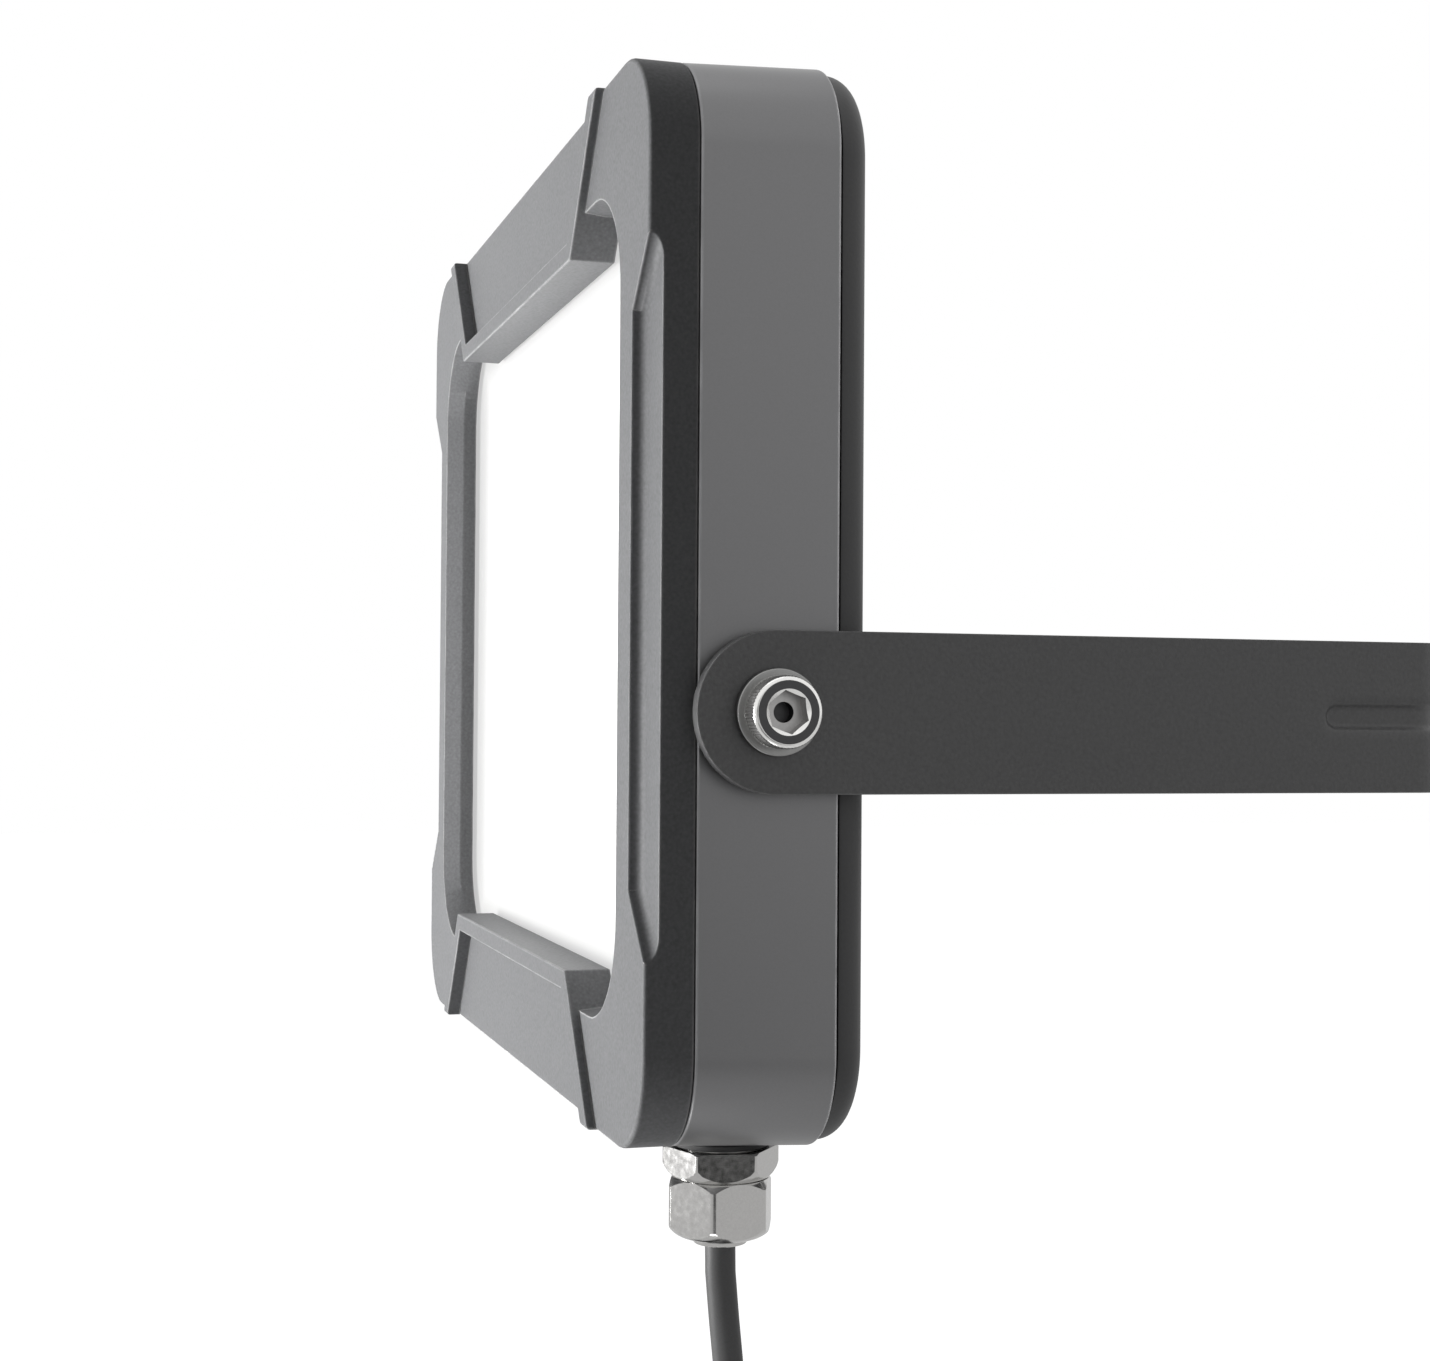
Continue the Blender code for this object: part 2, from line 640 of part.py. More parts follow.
LEAD_HOLE_RADIUS = 2.6 * MM
MODULE_SCREW_SHORT = 1.0 * MM

tray_y = (LENS_BACK + GAP, TRAY_BACK)
reflector_tray = piece("reflector_tray", window_outline(tray_y, TRAY_GROW), WHITE_SHEET)
cut(
    reflector_tray,
    window_outline((LENS_BACK - OVERRUN, TRAY_BACK - TRAY_FLOOR), TRAY_GROW - TRAY_SHEET),
    window_outline((LENS_BACK - OVERRUN, TRAY_BACK + OVERRUN), FLOOR_OPENING),
    drills(MODULE_SCREWS, SCREW_HOLE, TRAY_BACK - OVERRUN, TRAY_BACK + OVERRUN),
)
led_board = piece(
    "led_board",
    window_outline((BOARD_FRONT, BOARD_FRONT + BOARD_THICK), BOARD_GROW, 3),
    WHITE_BOARD,
)
heat_spreader_plate = piece(
    "heat_spreader_plate", window_outline((SPREADER_FRONT, SPREADER_BACK), SPREADER_GROW, 3), ALUMINIUM
)
lead_x = WINDOW_WIDTH / 2 - LEAD_FROM_SIDE
lead_z = -LEAD_DROP
for plate in (led_board, heat_spreader_plate):
    cut(plate, drills(MODULE_SCREWS, SCREW_HOLE, BOARD_FRONT - OVERRUN, SPREADER_BACK + OVERRUN))
    lead_hole = drills([(lead_x, lead_z)], LEAD_HOLE_RADIUS, BOARD_FRONT - OVERRUN, SPREADER_BACK + OVERRUN)
    cut(plate, lead_hole)

chips = []
span_x = WINDOW_WIDTH - 2 * CHIP_MARGIN
span_z = WINDOW_TOP - WINDOW_BOTTOM - 2 * CHIP_MARGIN
for column in range(CHIP_COLUMNS):
    for row in range(CHIP_ROWS):
        x = (column / (CHIP_COLUMNS - 1) - 0.5) * span_x
        z = HEAD_MID_Z + (row / (CHIP_ROWS - 1) - 0.5) * span_z
        chips.append(cube((CHIP, 2 * CHIP_HIGH, CHIP), (x, BOARD_FRONT, z)))
join(led_board, joined_mesh(chips))
for number, place in enumerate(MODULE_SCREWS, 1):
    cap_screw(
        f"module_screw_{number}",
        place,
        PAD_FRONT + PAD_DEEP - MODULE_SCREW_SHORT,
        TRAY_BACK - TRAY_FLOOR - GAP,
        M4 / 2,
        HEAD_M4_RADIUS,
        HEAD_M4_HIGH,
        M4_SOCKET,
        -1,
    )

# Driver: tray with two pillars, board, transformer, capacitor and its two screws
DRIVER_X = (-68.0 * MM, 32.0 * MM)
DRIVER_Z = (0.0, 58.0 * MM)
DRIVER_BACK = 13.0 * MM
DRIVER_SHEET = 1.2 * MM
DRIVER_BOARD_Y = 7.4 * MM
DRIVER_BOARD_THICK = 1.6 * MM
DRIVER_EDGE = 3.0 * MM
DRIVER_HOLE_IN = 5.0 * MM
PILLAR_RADIUS = 3.2 * MM
M3_RADIUS = 1.5 * MM
M3_HEAD_RADIUS = 2.75 * MM
M3_HEAD_HIGH = 2.0 * MM
M3_SOCKET = 2.0 * MM
M3_SPREADER_SKIN = 1.0 * MM
PART_HIGH = 7.0 * MM
BOBBIN_X = (35.0 * MM, 57.0 * MM)
BOBBIN_Z = (15.0 * MM, 37.0 * MM)
CORE_PAST_BOBBIN = 4.0 * MM
CORE_INSIDE_BOBBIN = 4.0 * MM
CORE_THINNER = 1.2 * MM
CAN_RADIUS = 3.6 * MM
CAN_X = 79.0 * MM
CAN_Z = (9.0 * MM, 27.0 * MM)
driver_base = SPREADER_BACK + GAP
driver_tray = piece(
    "driver_tray", rounded_block(DRIVER_X, (driver_base, DRIVER_BACK), DRIVER_Z, 0), ALUMINIUM, smooth=False
)
cut(
    driver_tray,
    rounded_block(
        (DRIVER_X[0] + DRIVER_SHEET, DRIVER_X[1] - DRIVER_SHEET),
        (driver_base + DRIVER_SHEET, DRIVER_BACK + OVERRUN),
        (DRIVER_Z[0] - OVERRUN, DRIVER_Z[1] + OVERRUN),
        0,
    ),
)
board_x = (DRIVER_X[0] + DRIVER_EDGE, DRIVER_X[1] - DRIVER_EDGE)
board_z = (DRIVER_Z[0] + DRIVER_EDGE, DRIVER_Z[1] - DRIVER_EDGE)
board_back = DRIVER_BOARD_Y + DRIVER_BOARD_THICK
driver_board = piece(
    "driver_board", rounded_block(board_x, (DRIVER_BOARD_Y, board_back), board_z, 0), GREEN_BOARD, smooth=False
)
driver_holes = [
    (board_x[0] + DRIVER_HOLE_IN, board_z[0] + DRIVER_HOLE_IN),
    (board_x[1] - DRIVER_HOLE_IN, board_z[1] - DRIVER_HOLE_IN),
]
m3_hole = M3_RADIUS + GAP
for x, z in driver_holes:
    join(driver_tray, rod(PILLAR_RADIUS, driver_base + DRIVER_SHEET / 2, DRIVER_BOARD_Y - GAP, 1, (x, 0, z), 10))
cut(driver_board, drills(driver_holes, m3_hole, DRIVER_BOARD_Y - OVERRUN, board_back + OVERRUN, 8))
cut(driver_tray, drills(driver_holes, m3_hole, driver_base - OVERRUN, DRIVER_BOARD_Y + OVERRUN, 8))
cut(heat_spreader_plate, drills(driver_holes, m3_hole, SPREADER_FRONT + M3_SPREADER_SKIN, SPREADER_BACK + OVERRUN, 8))
for number, place in enumerate(driver_holes, 1):
    cap_screw(
        f"driver_screw_{number}",
        place,
        SPREADER_FRONT + M3_SPREADER_SKIN + GAP,
        board_back + GAP,
        M3_RADIUS,
        M3_HEAD_RADIUS,
        M3_HEAD_HIGH,
        M3_SOCKET,
        1,
    )
part_y = (board_back + GAP, board_back + GAP + PART_HIGH)
bobbin_x = [board_x[0] + x for x in BOBBIN_X]
bobbin_z = [board_z[0] + z for z in BOBBIN_Z]
bobbin = rounded_block(bobbin_x, part_y, bobbin_z, 0)
driver_transformer = piece("driver_transformer", bobbin, WINDING_TAPE, smooth=False)
ferrite_core = rounded_block(
    (bobbin_x[0] - CORE_PAST_BOBBIN, bobbin_x[1] + CORE_PAST_BOBBIN),
    (part_y[0] + CORE_THINNER, part_y[1] - CORE_THINNER),
    (bobbin_z[0] + CORE_INSIDE_BOBBIN, bobbin_z[1] - CORE_INSIDE_BOBBIN),
    0,
)
join(driver_transformer, ferrite_core)
can_centre = (board_x[0] + CAN_X, board_back + GAP + CAN_RADIUS, 0)
can = rod(CAN_RADIUS, board_z[0] + CAN_Z[0], board_z[0] + CAN_Z[1], 2, can_centre, 16)
piece("driver_capacitor", can, CAN_SLEEVE)

# Terminal block for the supply cord, with three clamp screws
TERMINAL_FROM_SIDE = 29.9 * MM
TERMINAL_LONG = 28.0 * MM
TERMINAL_Z = (-26.0 * MM, -10.0 * MM)
TERMINAL_BACK = 13.0 * MM
TERMINAL_CORNER = 1.0 * MM
TERMINAL_ENTRY_Y = 6.4 * MM
ENTRY_DEEP = 4.0 * MM
WELL_RADIUS = 2.6 * MM
WELL_DEEP = 5.0 * MM
CLAMP_SUNK = 1.0 * MM
CLAMP_SLOT = (0.8 * MM, 1.0 * MM)
terminal_right = WINDOW_WIDTH / 2 - TERMINAL_FROM_SIDE
terminal_left = terminal_right - TERMINAL_LONG
terminal_block = piece(
    "terminal_block",
    rounded_block(
        (terminal_left, terminal_right),
        (SPREADER_BACK + GAP, TERMINAL_BACK),
        TERMINAL_Z,
        TERMINAL_CORNER,
        2,
    ),
    NATURAL_PLASTIC,
)
terminal_poles = [terminal_left + TERMINAL_LONG * (i + 0.5) / 3 for i in range(3)]
terminal_mid_z = sum(TERMINAL_Z) / 2
well_floor = TERMINAL_BACK - WELL_DEEP
clamp_top = TERMINAL_BACK - CLAMP_SUNK
clamp_slot = (2 * WELL_RADIUS + OVERRUN, CLAMP_SLOT[1], CLAMP_SLOT[0])
for number, x in enumerate(terminal_poles, 1):
    well_axis = (x, 0, terminal_mid_z)
    cut(terminal_block, rod(WELL_RADIUS, well_floor, TERMINAL_BACK + OVERRUN, 1, well_axis, 12))
    entry = rod(
        CORE_D / 2 + GAP,
        TERMINAL_Z[0] - OVERRUN,
        TERMINAL_Z[0] + ENTRY_DEEP,
        2,
        (x, TERMINAL_ENTRY_Y, 0),
        8,
    )
    cut(terminal_block, entry)
    clamp = rod(WELL_RADIUS - GAP, well_floor + GAP, clamp_top, 1, well_axis, 12)
    terminal_screw = piece(f"terminal_screw_{number}", clamp, BRASS)
    cut(terminal_screw, cube(clamp_slot, (x, clamp_top, terminal_mid_z)))

# Pivot hardware on both sides: insert, friction washer, washer and low-head socket screw
FRICTION_THICK = 0.8 * MM
FRICTION_RADIUS = 10.0 * MM
PIVOT_RIM = 0.9 * MM
PIVOT_SOCKET_DEEP = 3.2 * MM
PIVOT_SOCKET_TURN = math.radians(8)
head_radius = PIVOT_HEAD_D / 2
arm_outer_x = ARM_INNER_X + STRAP_THICK
washer_inner_x = arm_outer_x + GAP
head_inner_x = washer_inner_x + WASHER_THICK + GAP
head_outer_x = head_inner_x + PIVOT_HEAD_HIGH
shank_inner_x = washer_inner_x + WASHER_THICK - PIVOT_SCREW_LONG
for side, label in ((1, "right"), (-1, "left")):
    axis = 0 if side > 0 else -1
    washer_ring(
        f"pivot_insert_{label}",
        INSERT_RADIUS,
        M8 / 2 + GAP,
        BOSS_INNER_X + GAP,
        HALF_WIDTH - 2 * GAP,
        BRASS,
        axis,
        (0, 0, 0),
        16,
    )
    washer_ring(
        f"friction_washer_{label}",
        FRICTION_RADIUS,
        M8 / 2 + GAP,
        ARM_INNER_X - GAP - FRICTION_THICK,
        ARM_INNER_X - GAP,
        BLACK_PLASTIC,
        axis,
        (0, 0, 0),
    )
    washer_ring(
        f"pivot_washer_{label}",
        WASHER_D / 2,
        M8 / 2 + GAP,
        washer_inner_x,
        washer_inner_x + WASHER_THICK,
        STEEL,
        axis,
        (0, 0, 0),
    )
    profile = [
        (0, head_outer_x),
        (head_radius - PIVOT_RIM, head_outer_x),
        (head_radius, head_outer_x - PIVOT_RIM),
        (head_radius, head_inner_x),
        (M8 / 2, head_inner_x),
        (M8 / 2, shank_inner_x),
        (0, shank_inner_x),
    ]
    screw = turned(f"pivot_screw_{label}", profile, STEEL, axis, (0, 0, 0))
    low, high = sorted((side * (head_outer_x - PIVOT_SOCKET_DEEP), side * (head_outer_x + OVERRUN)))
    cut(screw, hex_rod(PIVOT_SOCKET, low, high, 0, (0, 0, 0), PIVOT_SOCKET_TURN))

# U bracket bent from flat strap, with a bead pressed into it round each bend
BEAD_TAPER = 2.4 * MM
BEAD_ROW_SHARES = (-1.0, -0.55, 0.0, 0.55, 1.0)
BEAD_DEPTH_SHARES = (0.0, 0.7, 1.0, 0.7, 0.0)
FULL_BEND = 90.0
bend_steps = 6
end_steps = 10
half_strap = STRAP_WIDE / 2
arm_front_y = -PIVOT_TO_WALL - half_strap
bend_centre_x = arm_outer_x - BEND_OUTER
bead_inner = BEAD_RUN - BEAD_TAPER

# Stations along the strap's outer face: place in plan, outward normal, share of the bead's depth
half_run = [
    ((arm_outer_x, arm_front_y - OVERRUN), (1, 0), 0),
    ((arm_outer_x, -BEAD_RUN), (1, 0), 0),
    ((arm_outer_x, -bead_inner), (1, 0), 1),
]
for i in range(bend_steps + 1):
    angle = math.radians(FULL_BEND * i / bend_steps)
    out = (math.cos(angle), math.sin(angle))
    place = (bend_centre_x + BEND_OUTER * out[0], -BEND_OUTER + BEND_OUTER * out[1])
    half_run.append((place, out, 1))
half_run.append(((arm_outer_x - bead_inner, 0), (0, 1), 1))
half_run.append(((arm_outer_x - BEAD_RUN, 0), (0, 1), 0))
other_half = [((-x, y), (-nx, ny), share) for (x, y), (nx, ny), share in reversed(half_run)]

rows = [(-half_strap - OVERRUN, 0)]
rows += [(share * BEAD_WIDE / 2, deep * BEAD_HIGH) for share, deep in zip(BEAD_ROW_SHARES, BEAD_DEPTH_SHARES)]
rows += [(half_strap + OVERRUN, 0)]
strap = bmesh.new()
sections = []
for (x, y), (nx, ny), share in half_run + other_half:
    outer = [strap.verts.new((x - nx * d * share, y - ny * d * share, z)) for z, d in rows]
    depths = [(z, STRAP_THICK + d * share) for z, d in reversed(rows)]
    sections.append(outer + [strap.verts.new((x - nx * d, y - ny * d, z)) for z, d in depths])
for one, two in zip(sections, sections[1:]):
    for i in range(len(one)):
        j = (i + 1) % len(one)
        strap.faces.new((one[i], one[j], two[j], two[i]))
strap.faces.new(sections[0])
strap.faces.new(sections[-1])

bmesh.ops.recalc_face_normals(strap, faces=strap.faces)
mounting_bracket = piece("mounting_bracket", strap, BLACK_PAINT, parent=None)

round_end = []
for i in range(end_steps + 1):
    angle = math.radians(270 - 180 * i / end_steps)
    round_end.append((-PIVOT_TO_WALL + half_strap * math.cos(angle), half_strap * math.sin(angle)))
end_outline = round_end + [(OVERRUN, half_strap), (OVERRUN, -half_strap)]
wide = arm_outer_x + OVERRUN
boolean(mounting_bracket, "INTERSECT", prism(end_outline, 0, -wide, wide), parent=None)
for side in (1, -1):
    low, high = sorted((side * (ARM_INNER_X - OVERRUN), side * (arm_outer_x + OVERRUN)))
    cut(mounting_bracket, rod(M8 / 2 + GAP, low, high, 0, (0, -PIVOT_TO_WALL, 0), 16), parent=None)
    slot_half = SLOT_LONG / 2
    slot = rounded_block(
        (side * SLOT_X - slot_half, side * SLOT_X + slot_half),
        (-STRAP_THICK - OVERRUN, OVERRUN),
        (-SLOT_WIDE / 2, SLOT_WIDE / 2),
        SLOT_WIDE / 2 - MERGE,
        4,
    )
    cut(mounting_bracket, slot, parent=None)

# Cable gland in the underside: flat seal, body, locknut, sealing insert and dome nut
O_RING_THICK = 1.2 * MM
O_RING_INSET = 0.4 * MM
BODY_HIGH = 5.7 * MM
BODY_TRIM_LOW = 2.4 * MM
BODY_TRIM_HIGH = 1.0 * MM
COLLAR_HIGH = 6.7 * MM
COLLAR_RADIUS = 7.6 * MM
SPIGOT_PAST_LOCKNUT = 0.5 * MM
BORE_RADIUS = 5.6 * MM
SEAL_RADIUS = 5.2 * MM
SEAL_IN_BODY = 3.0 * MM
LOCKNUT_FLATS = 20.0 * MM
LOCKNUT_HIGH = 3.0 * MM
NUT_HIGH = 11.6 * MM
NUT_END_HIGH = 0.9 * MM
NUT_END_RADIUS = 5.3 * MM
NUT_FLOOR = 1.2 * MM
BODY_TURN = math.radians(-10.4)
NUT_TURN = math.radians(6.2)
o_ring_top = HEAD_BOTTOM - HOUSING_FLARE - GAP
body_top = o_ring_top - O_RING_THICK - GAP
body_bottom = body_top - BODY_HIGH
collar_bottom = body_bottom - COLLAR_HIGH
nut_top = body_bottom - GAP
nut_bottom = nut_top - NUT_HIGH
nut_end = nut_bottom - NUT_END_HIGH
nut_bore = CORD_D / 2 + 2 * GAP
locknut_bottom = HEAD_BOTTOM + WALL + GAP
spigot_top = locknut_bottom + LOCKNUT_HIGH + SPIGOT_PAST_LOCKNUT
gland_axis = (GLAND_X, 0, 0)

washer_ring(
    "gland_o_ring",
    GLAND_BODY_FLATS / 2 - O_RING_INSET,
    GLAND_THREAD / 2 + GAP,
    o_ring_top - O_RING_THICK,
    o_ring_top,
    RUBBER,
    2,
    gland_axis,
)
gland_body = piece(
    "gland_body", hex_rod(GLAND_BODY_FLATS, body_bottom, body_top, 2, gland_axis, BODY_TURN), NICKEL
)
body_corner = GLAND_BODY_FLATS / math.sqrt(3)
body_trim = rod(
    body_corner - BODY_TRIM_LOW,
    body_bottom - OVERRUN,
    body_top + OVERRUN,
    2,
    gland_axis,
    24,
    body_corner + BODY_TRIM_HIGH,
)
boolean(gland_body, "INTERSECT", body_trim)
join(
    gland_body,
    rod(GLAND_THREAD / 2, body_bottom + BODY_HIGH / 3, spigot_top, 2, gland_axis, 20),
    rod(COLLAR_RADIUS, collar_bottom, body_top - BODY_HIGH / 3, 2, gland_axis, 20),
)
cut(gland_body, rod(BORE_RADIUS, collar_bottom - OVERRUN, spigot_top + OVERRUN, 2, gland_axis, 16))
gland_locknut = piece(
    "gland_locknut",
    hex_rod(LOCKNUT_FLATS, locknut_bottom, locknut_bottom + LOCKNUT_HIGH, 2, gland_axis),
    NICKEL,
)
locknut_bore = rod(
    GLAND_THREAD / 2 + GAP,
    locknut_bottom - OVERRUN,
    locknut_bottom + LOCKNUT_HIGH + OVERRUN,
    2,
    gland_axis,
    20,
)
cut(gland_locknut, locknut_bore)
washer_ring(
    "gland_seal",
    SEAL_RADIUS,
    CORD_D / 2 + GAP,
    nut_bottom + NUT_FLOOR + GAP,
    body_bottom + SEAL_IN_BODY,
    RUBBER,
    2,
    gland_axis,
    16,
)
gland_dome_nut = piece(
    "gland_dome_nut", hex_rod(GLAND_NUT_FLATS, nut_bottom, nut_top, 2, gland_axis, NUT_TURN), NICKEL
)
nut_corner = GLAND_NUT_FLATS / math.sqrt(3)
DOME_RADIUS_SHARES = (0.85, 0.89, 1.0, 1.03, 0.945, 0.82, 0.6)
DOME_DROP_SHARES = (-0.1, 0.0, 0.21, 0.6, 0.76, 0.9, 1.02)
dome_profile = [
    (nut_corner * radius, nut_top - NUT_HIGH * drop)
    for radius, drop in zip(DOME_RADIUS_SHARES, DOME_DROP_SHARES)
]
dome_profile = [(0, dome_profile[0][1])] + dome_profile + [(0, dome_profile[-1][1])]
dome_shape = turned("dome_shape", dome_profile, NICKEL, 2, gland_axis)
spotlight.objects.unlink(dome_shape)
cutters.objects.link(dome_shape)
dome_shape.hide_render = True
dome_shape.display_type = "WIRE"
dome = gland_dome_nut.modifiers.new("dome", "BOOLEAN")
dome.operation = "INTERSECT"
dome.object = dome_shape
join(gland_dome_nut, rod(NUT_END_RADIUS, nut_end, nut_bottom + NUT_FLOOR / 2, 2, gland_axis, 20))
cut(
    gland_dome_nut,
    rod(nut_bore, nut_end - OVERRUN, nut_top, 2, gland_axis, 16),
    rod(SEAL_RADIUS + GAP, nut_bottom + NUT_FLOOR, nut_top, 2, gland_axis, 16),
    rod(COLLAR_RADIUS + GAP, collar_bottom - GAP, nut_top + OVERRUN, 2, gland_axis, 20),
)

# Supply cord inside the head, and its three cores up to the terminal block
SHEATH_PAST_SPIGOT = 1.4 * MM
LEAD_RADIUS = 0.8 * MM
sheath_top = spigot_top + SHEATH_PAST_SPIGOT
cord_radius = CORD_D / 2
core_radius = CORE_D / 2
tube("cord_inner_end", [(GLAND_X, 0, nut_end), (GLAND_X, 0, sheath_top)], cord_radius, RUBBER)
core_finish = (("live", BROWN_CORE), ("neutral", BLUE_CORE), ("earth", EARTH_CORE))
CORE_PITCH = 2.7 * MM
CORE_LOW = -43.4 * MM
CORE_CORNER_Z = -60.0 * MM
core_starts = ((-1.5 * MM, -0.7 * MM), (0, 1.7 * MM), (1.5 * MM, -0.7 * MM))
for i, (label, material) in enumerate(core_finish):
    start = Vector((GLAND_X + core_starts[i][0], core_starts[i][1], sheath_top + GAP))
    end = Vector((terminal_poles[i], TERMINAL_ENTRY_Y, TERMINAL_Z[0] + 2 * MM))
    corner_core_x = GLAND_X + (i - 2) * CORE_PITCH
    low = CORE_LOW + i * CORE_PITCH
    route = [
        start,
        start + Vector((0, 0.4 * MM, 2.5 * MM)),
        (corner_core_x, TERMINAL_ENTRY_Y, CORE_CORNER_Z),
        (corner_core_x - 1.0 * MM, TERMINAL_ENTRY_Y, low - 7 * MM),
        (corner_core_x - 8.0 * MM, TERMINAL_ENTRY_Y, low),
        (terminal_poles[i] + 8 * MM, TERMINAL_ENTRY_Y, low + 1.0 * MM),
        (terminal_poles[i] + 0.6 * MM, TERMINAL_ENTRY_Y, low + 8 * MM),
        end - Vector((0, 0, 4 * MM)),
        end,
    ]
    tube(f"supply_core_{label}", smooth_route(route, 20), core_radius, material, 1)

# Leads from the driver through the plates to the LED board
lead_runs = []
for i, shift in enumerate((-1.2 * MM, 1.2 * MM)):
    route = [
        (lead_x + shift, BOARD_FRONT - 1.6 * MM, lead_z),
        (lead_x + shift, SPREADER_BACK + 3.0 * MM, lead_z),
        (lead_x + shift - 1.0 * MM, SPREADER_BACK + 4.6 * MM, lead_z + 4 * MM),
        (lead_x + shift - 3.0 * MM, SPREADER_BACK + 4.6 * MM, DRIVER_Z[0] - 3 * MM),
        (lead_x + shift - 3.0 * MM, DRIVER_BOARD_Y + 0.8 * MM, board_z[0] - GAP),
    ]
    lead_runs.append(smooth_route(route, 10))
for label, run in zip(("plus", "minus"), lead_runs):
    tube(f"led_lead_{label}", run, LEAD_RADIUS, RUBBER, 1)

# Cord below the gland: the free stretch, a neat coil of the spare length and its tie
COIL_STEP = 6.5 * MM
LAYER_STEP = 6.6 * MM
LAYER_A_Y = 3.0 * MM
COIL_CENTRE_Z = -191.0 * MM
COIL_CENTRE_X = GLAND_X - COIL_OUTER_TURN
POINTS_A_TURN = 24
LEAST_COIL_GAP = 0.4 * MM
cord_top = nut_end - GAP
coil_start_z = COIL_CENTRE_Z + CORD_D
cord_route = [
    (GLAND_X, 0, cord_top),
    (GLAND_X, 0.1 * MM, cord_top - CORD_D),
    (GLAND_X, 0.9 * MM, -118.5 * MM),
    (GLAND_X, 2.0 * MM, -129.5 * MM),
    (GLAND_X + 0.4 * MM, 3.1 * MM, -144.0 * MM),
    (GLAND_X + 0.5 * MM, 3.6 * MM, -158.0 * MM),
    (GLAND_X + 0.1 * MM, LAYER_A_Y + 0.2 * MM, -171.0 * MM),
    (GLAND_X, LAYER_A_Y, coil_start_z + GAP + CORD_D),
    (GLAND_X, LAYER_A_Y, coil_start_z + GAP),
]
free_points = [Vector(cord_route[0])] + smooth_route(cord_route[1:-1], 8) + [Vector(cord_route[-1])]
tube("supply_cord", free_points, cord_radius, RUBBER, 2)


def coil_point(turn):
    """A point on the coil's centre line after so many turns, wound clockwise seen from the front."""
    half = COIL_TURNS / 2
    radius = COIL_OUTER_TURN - COIL_STEP * (turn if turn < half else COIL_TURNS - turn)
    climb = min(max((turn - half + 0.25) / 0.5, 0), 1)
    angle = -2 * math.pi * turn
    return Vector(
        (
            COIL_CENTRE_X + radius * math.cos(angle),
            LAYER_A_Y - LAYER_STEP * climb,
            COIL_CENTRE_Z + radius * math.sin(angle),
        )
    )


coil_count = round(COIL_TURNS * POINTS_A_TURN)
coil_line = [coil_point(COIL_TURNS * i / coil_count) for i in range(coil_count + 1)]
coil_end = coil_line[-1] + Vector((-CORD_D, 0, 0))
coil_line = [Vector((GLAND_X, LAYER_A_Y, coil_start_z))] + coil_line + [coil_end]
tube("supply_cord_coil", coil_line, cord_radius, RUBBER, 1)
least = min(
    (a - b).length
    for i, a in enumerate(coil_line)
    for b in coil_line[i + POINTS_A_TURN // 2 :]
)
coil_length = sum((b - a).length for a, b in zip(coil_line, coil_line[1:]))
free_length = sum((b - a).length for a, b in zip(free_points, free_points[1:]))
print(f"least gap between the coil's turns {1000 * (least - CORD_D):.2f} mm")
print(f"cord length outside the gland {1000 * (coil_length + free_length):.0f} mm")
assert least - CORD_D > LEAST_COIL_GAP

TIE_WIDE = 4.6 * MM
TIE_THICK = 1.1 * MM
TIE_CLEAR = 0.5 * MM
TIE_CORNER = 2.4 * MM
LOCK = (7.0 * MM, 5.4 * MM, 4.4 * MM)
top_turns = [coil_point(t) for t in (0.75, 1.75, 2.75, 3.75)]
bundle_low = min(p.z for p in top_turns) - cord_radius - TIE_CLEAR
bundle_high = max(p.z for p in top_turns) + cord_radius + TIE_CLEAR
bundle_front = min(p.y for p in top_turns) - cord_radius - TIE_CLEAR
bundle_back = max(p.y for p in top_turns) + cord_radius + TIE_CLEAR
tie_x = (COIL_CENTRE_X - TIE_WIDE / 2, COIL_CENTRE_X + TIE_WIDE / 2)
tie_body = rounded_block(
    tie_x,
    (bundle_front - TIE_THICK, bundle_back + TIE_THICK),
    (bundle_low - TIE_THICK, bundle_high + TIE_THICK),
    TIE_CORNER,
    3,
    axis=0,
)
cord_tie = piece("cord_tie", tie_body, BLACK_PLASTIC)
lock_centre = (COIL_CENTRE_X, bundle_front + LOCK[1], bundle_high + TIE_THICK + LOCK[2] / 2 - GAP)
join(cord_tie, cube(LOCK, lock_centre))
cut(
    cord_tie,
    rounded_block(
        (tie_x[0] - OVERRUN, tie_x[1] + OVERRUN),
        (bundle_front, bundle_back),
        (bundle_low, bundle_high),
        TIE_CORNER - TIE_THICK,
        3,
        axis=0,
    ),
)

# Bare end of the cord: three cores fanned out, each with a crimped ferrule
CORE_LONG = 24.0 * MM
FAN = 3.6 * MM
COLLAR = (1.9 * MM, 6.0 * MM)
PIN = (0.9 * MM, 8.0 * MM)
core_places = ((0, 1.5 * MM), (-1.3 * MM, -0.8 * MM), (1.3 * MM, -0.8 * MM))
for (label, material), (dy, dz) in zip(core_finish, core_places):
    start = coil_end + Vector((-GAP, dy, dz))
    spread = Vector((0, dy, dz)).normalized() * FAN
    end = start + Vector((-CORE_LONG, 0, 0)) + spread
    route = [start, start + Vector((-2 * MM, 0, 0)), (start + end) / 2, end + Vector((2 * MM, 0, 0)), end]
    tube(f"core_end_{label}", smooth_route(route, 10), core_radius, material, 1)
    low = end.x - GAP - COLLAR[1]
    collar = rod(COLLAR[0], low, end.x - GAP, 0, (0, end.y, end.z), 12)
    ferrule = piece(f"ferrule_{label}", collar, NATURAL_PLASTIC)
    join(ferrule, rod(PIN[0], low - PIN[1], low + COLLAR[1] / 2, 0, (0, end.y, end.z), 10))
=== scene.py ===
"""Looks of the wall spotlight: a flat LED head that tilts in a U-shaped strap bracket.

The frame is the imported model. Sizes are in metres, and depths are given from the tilt axis.
"""

import math

import bmesh
import bpy
from mathutils import Matrix, Vector


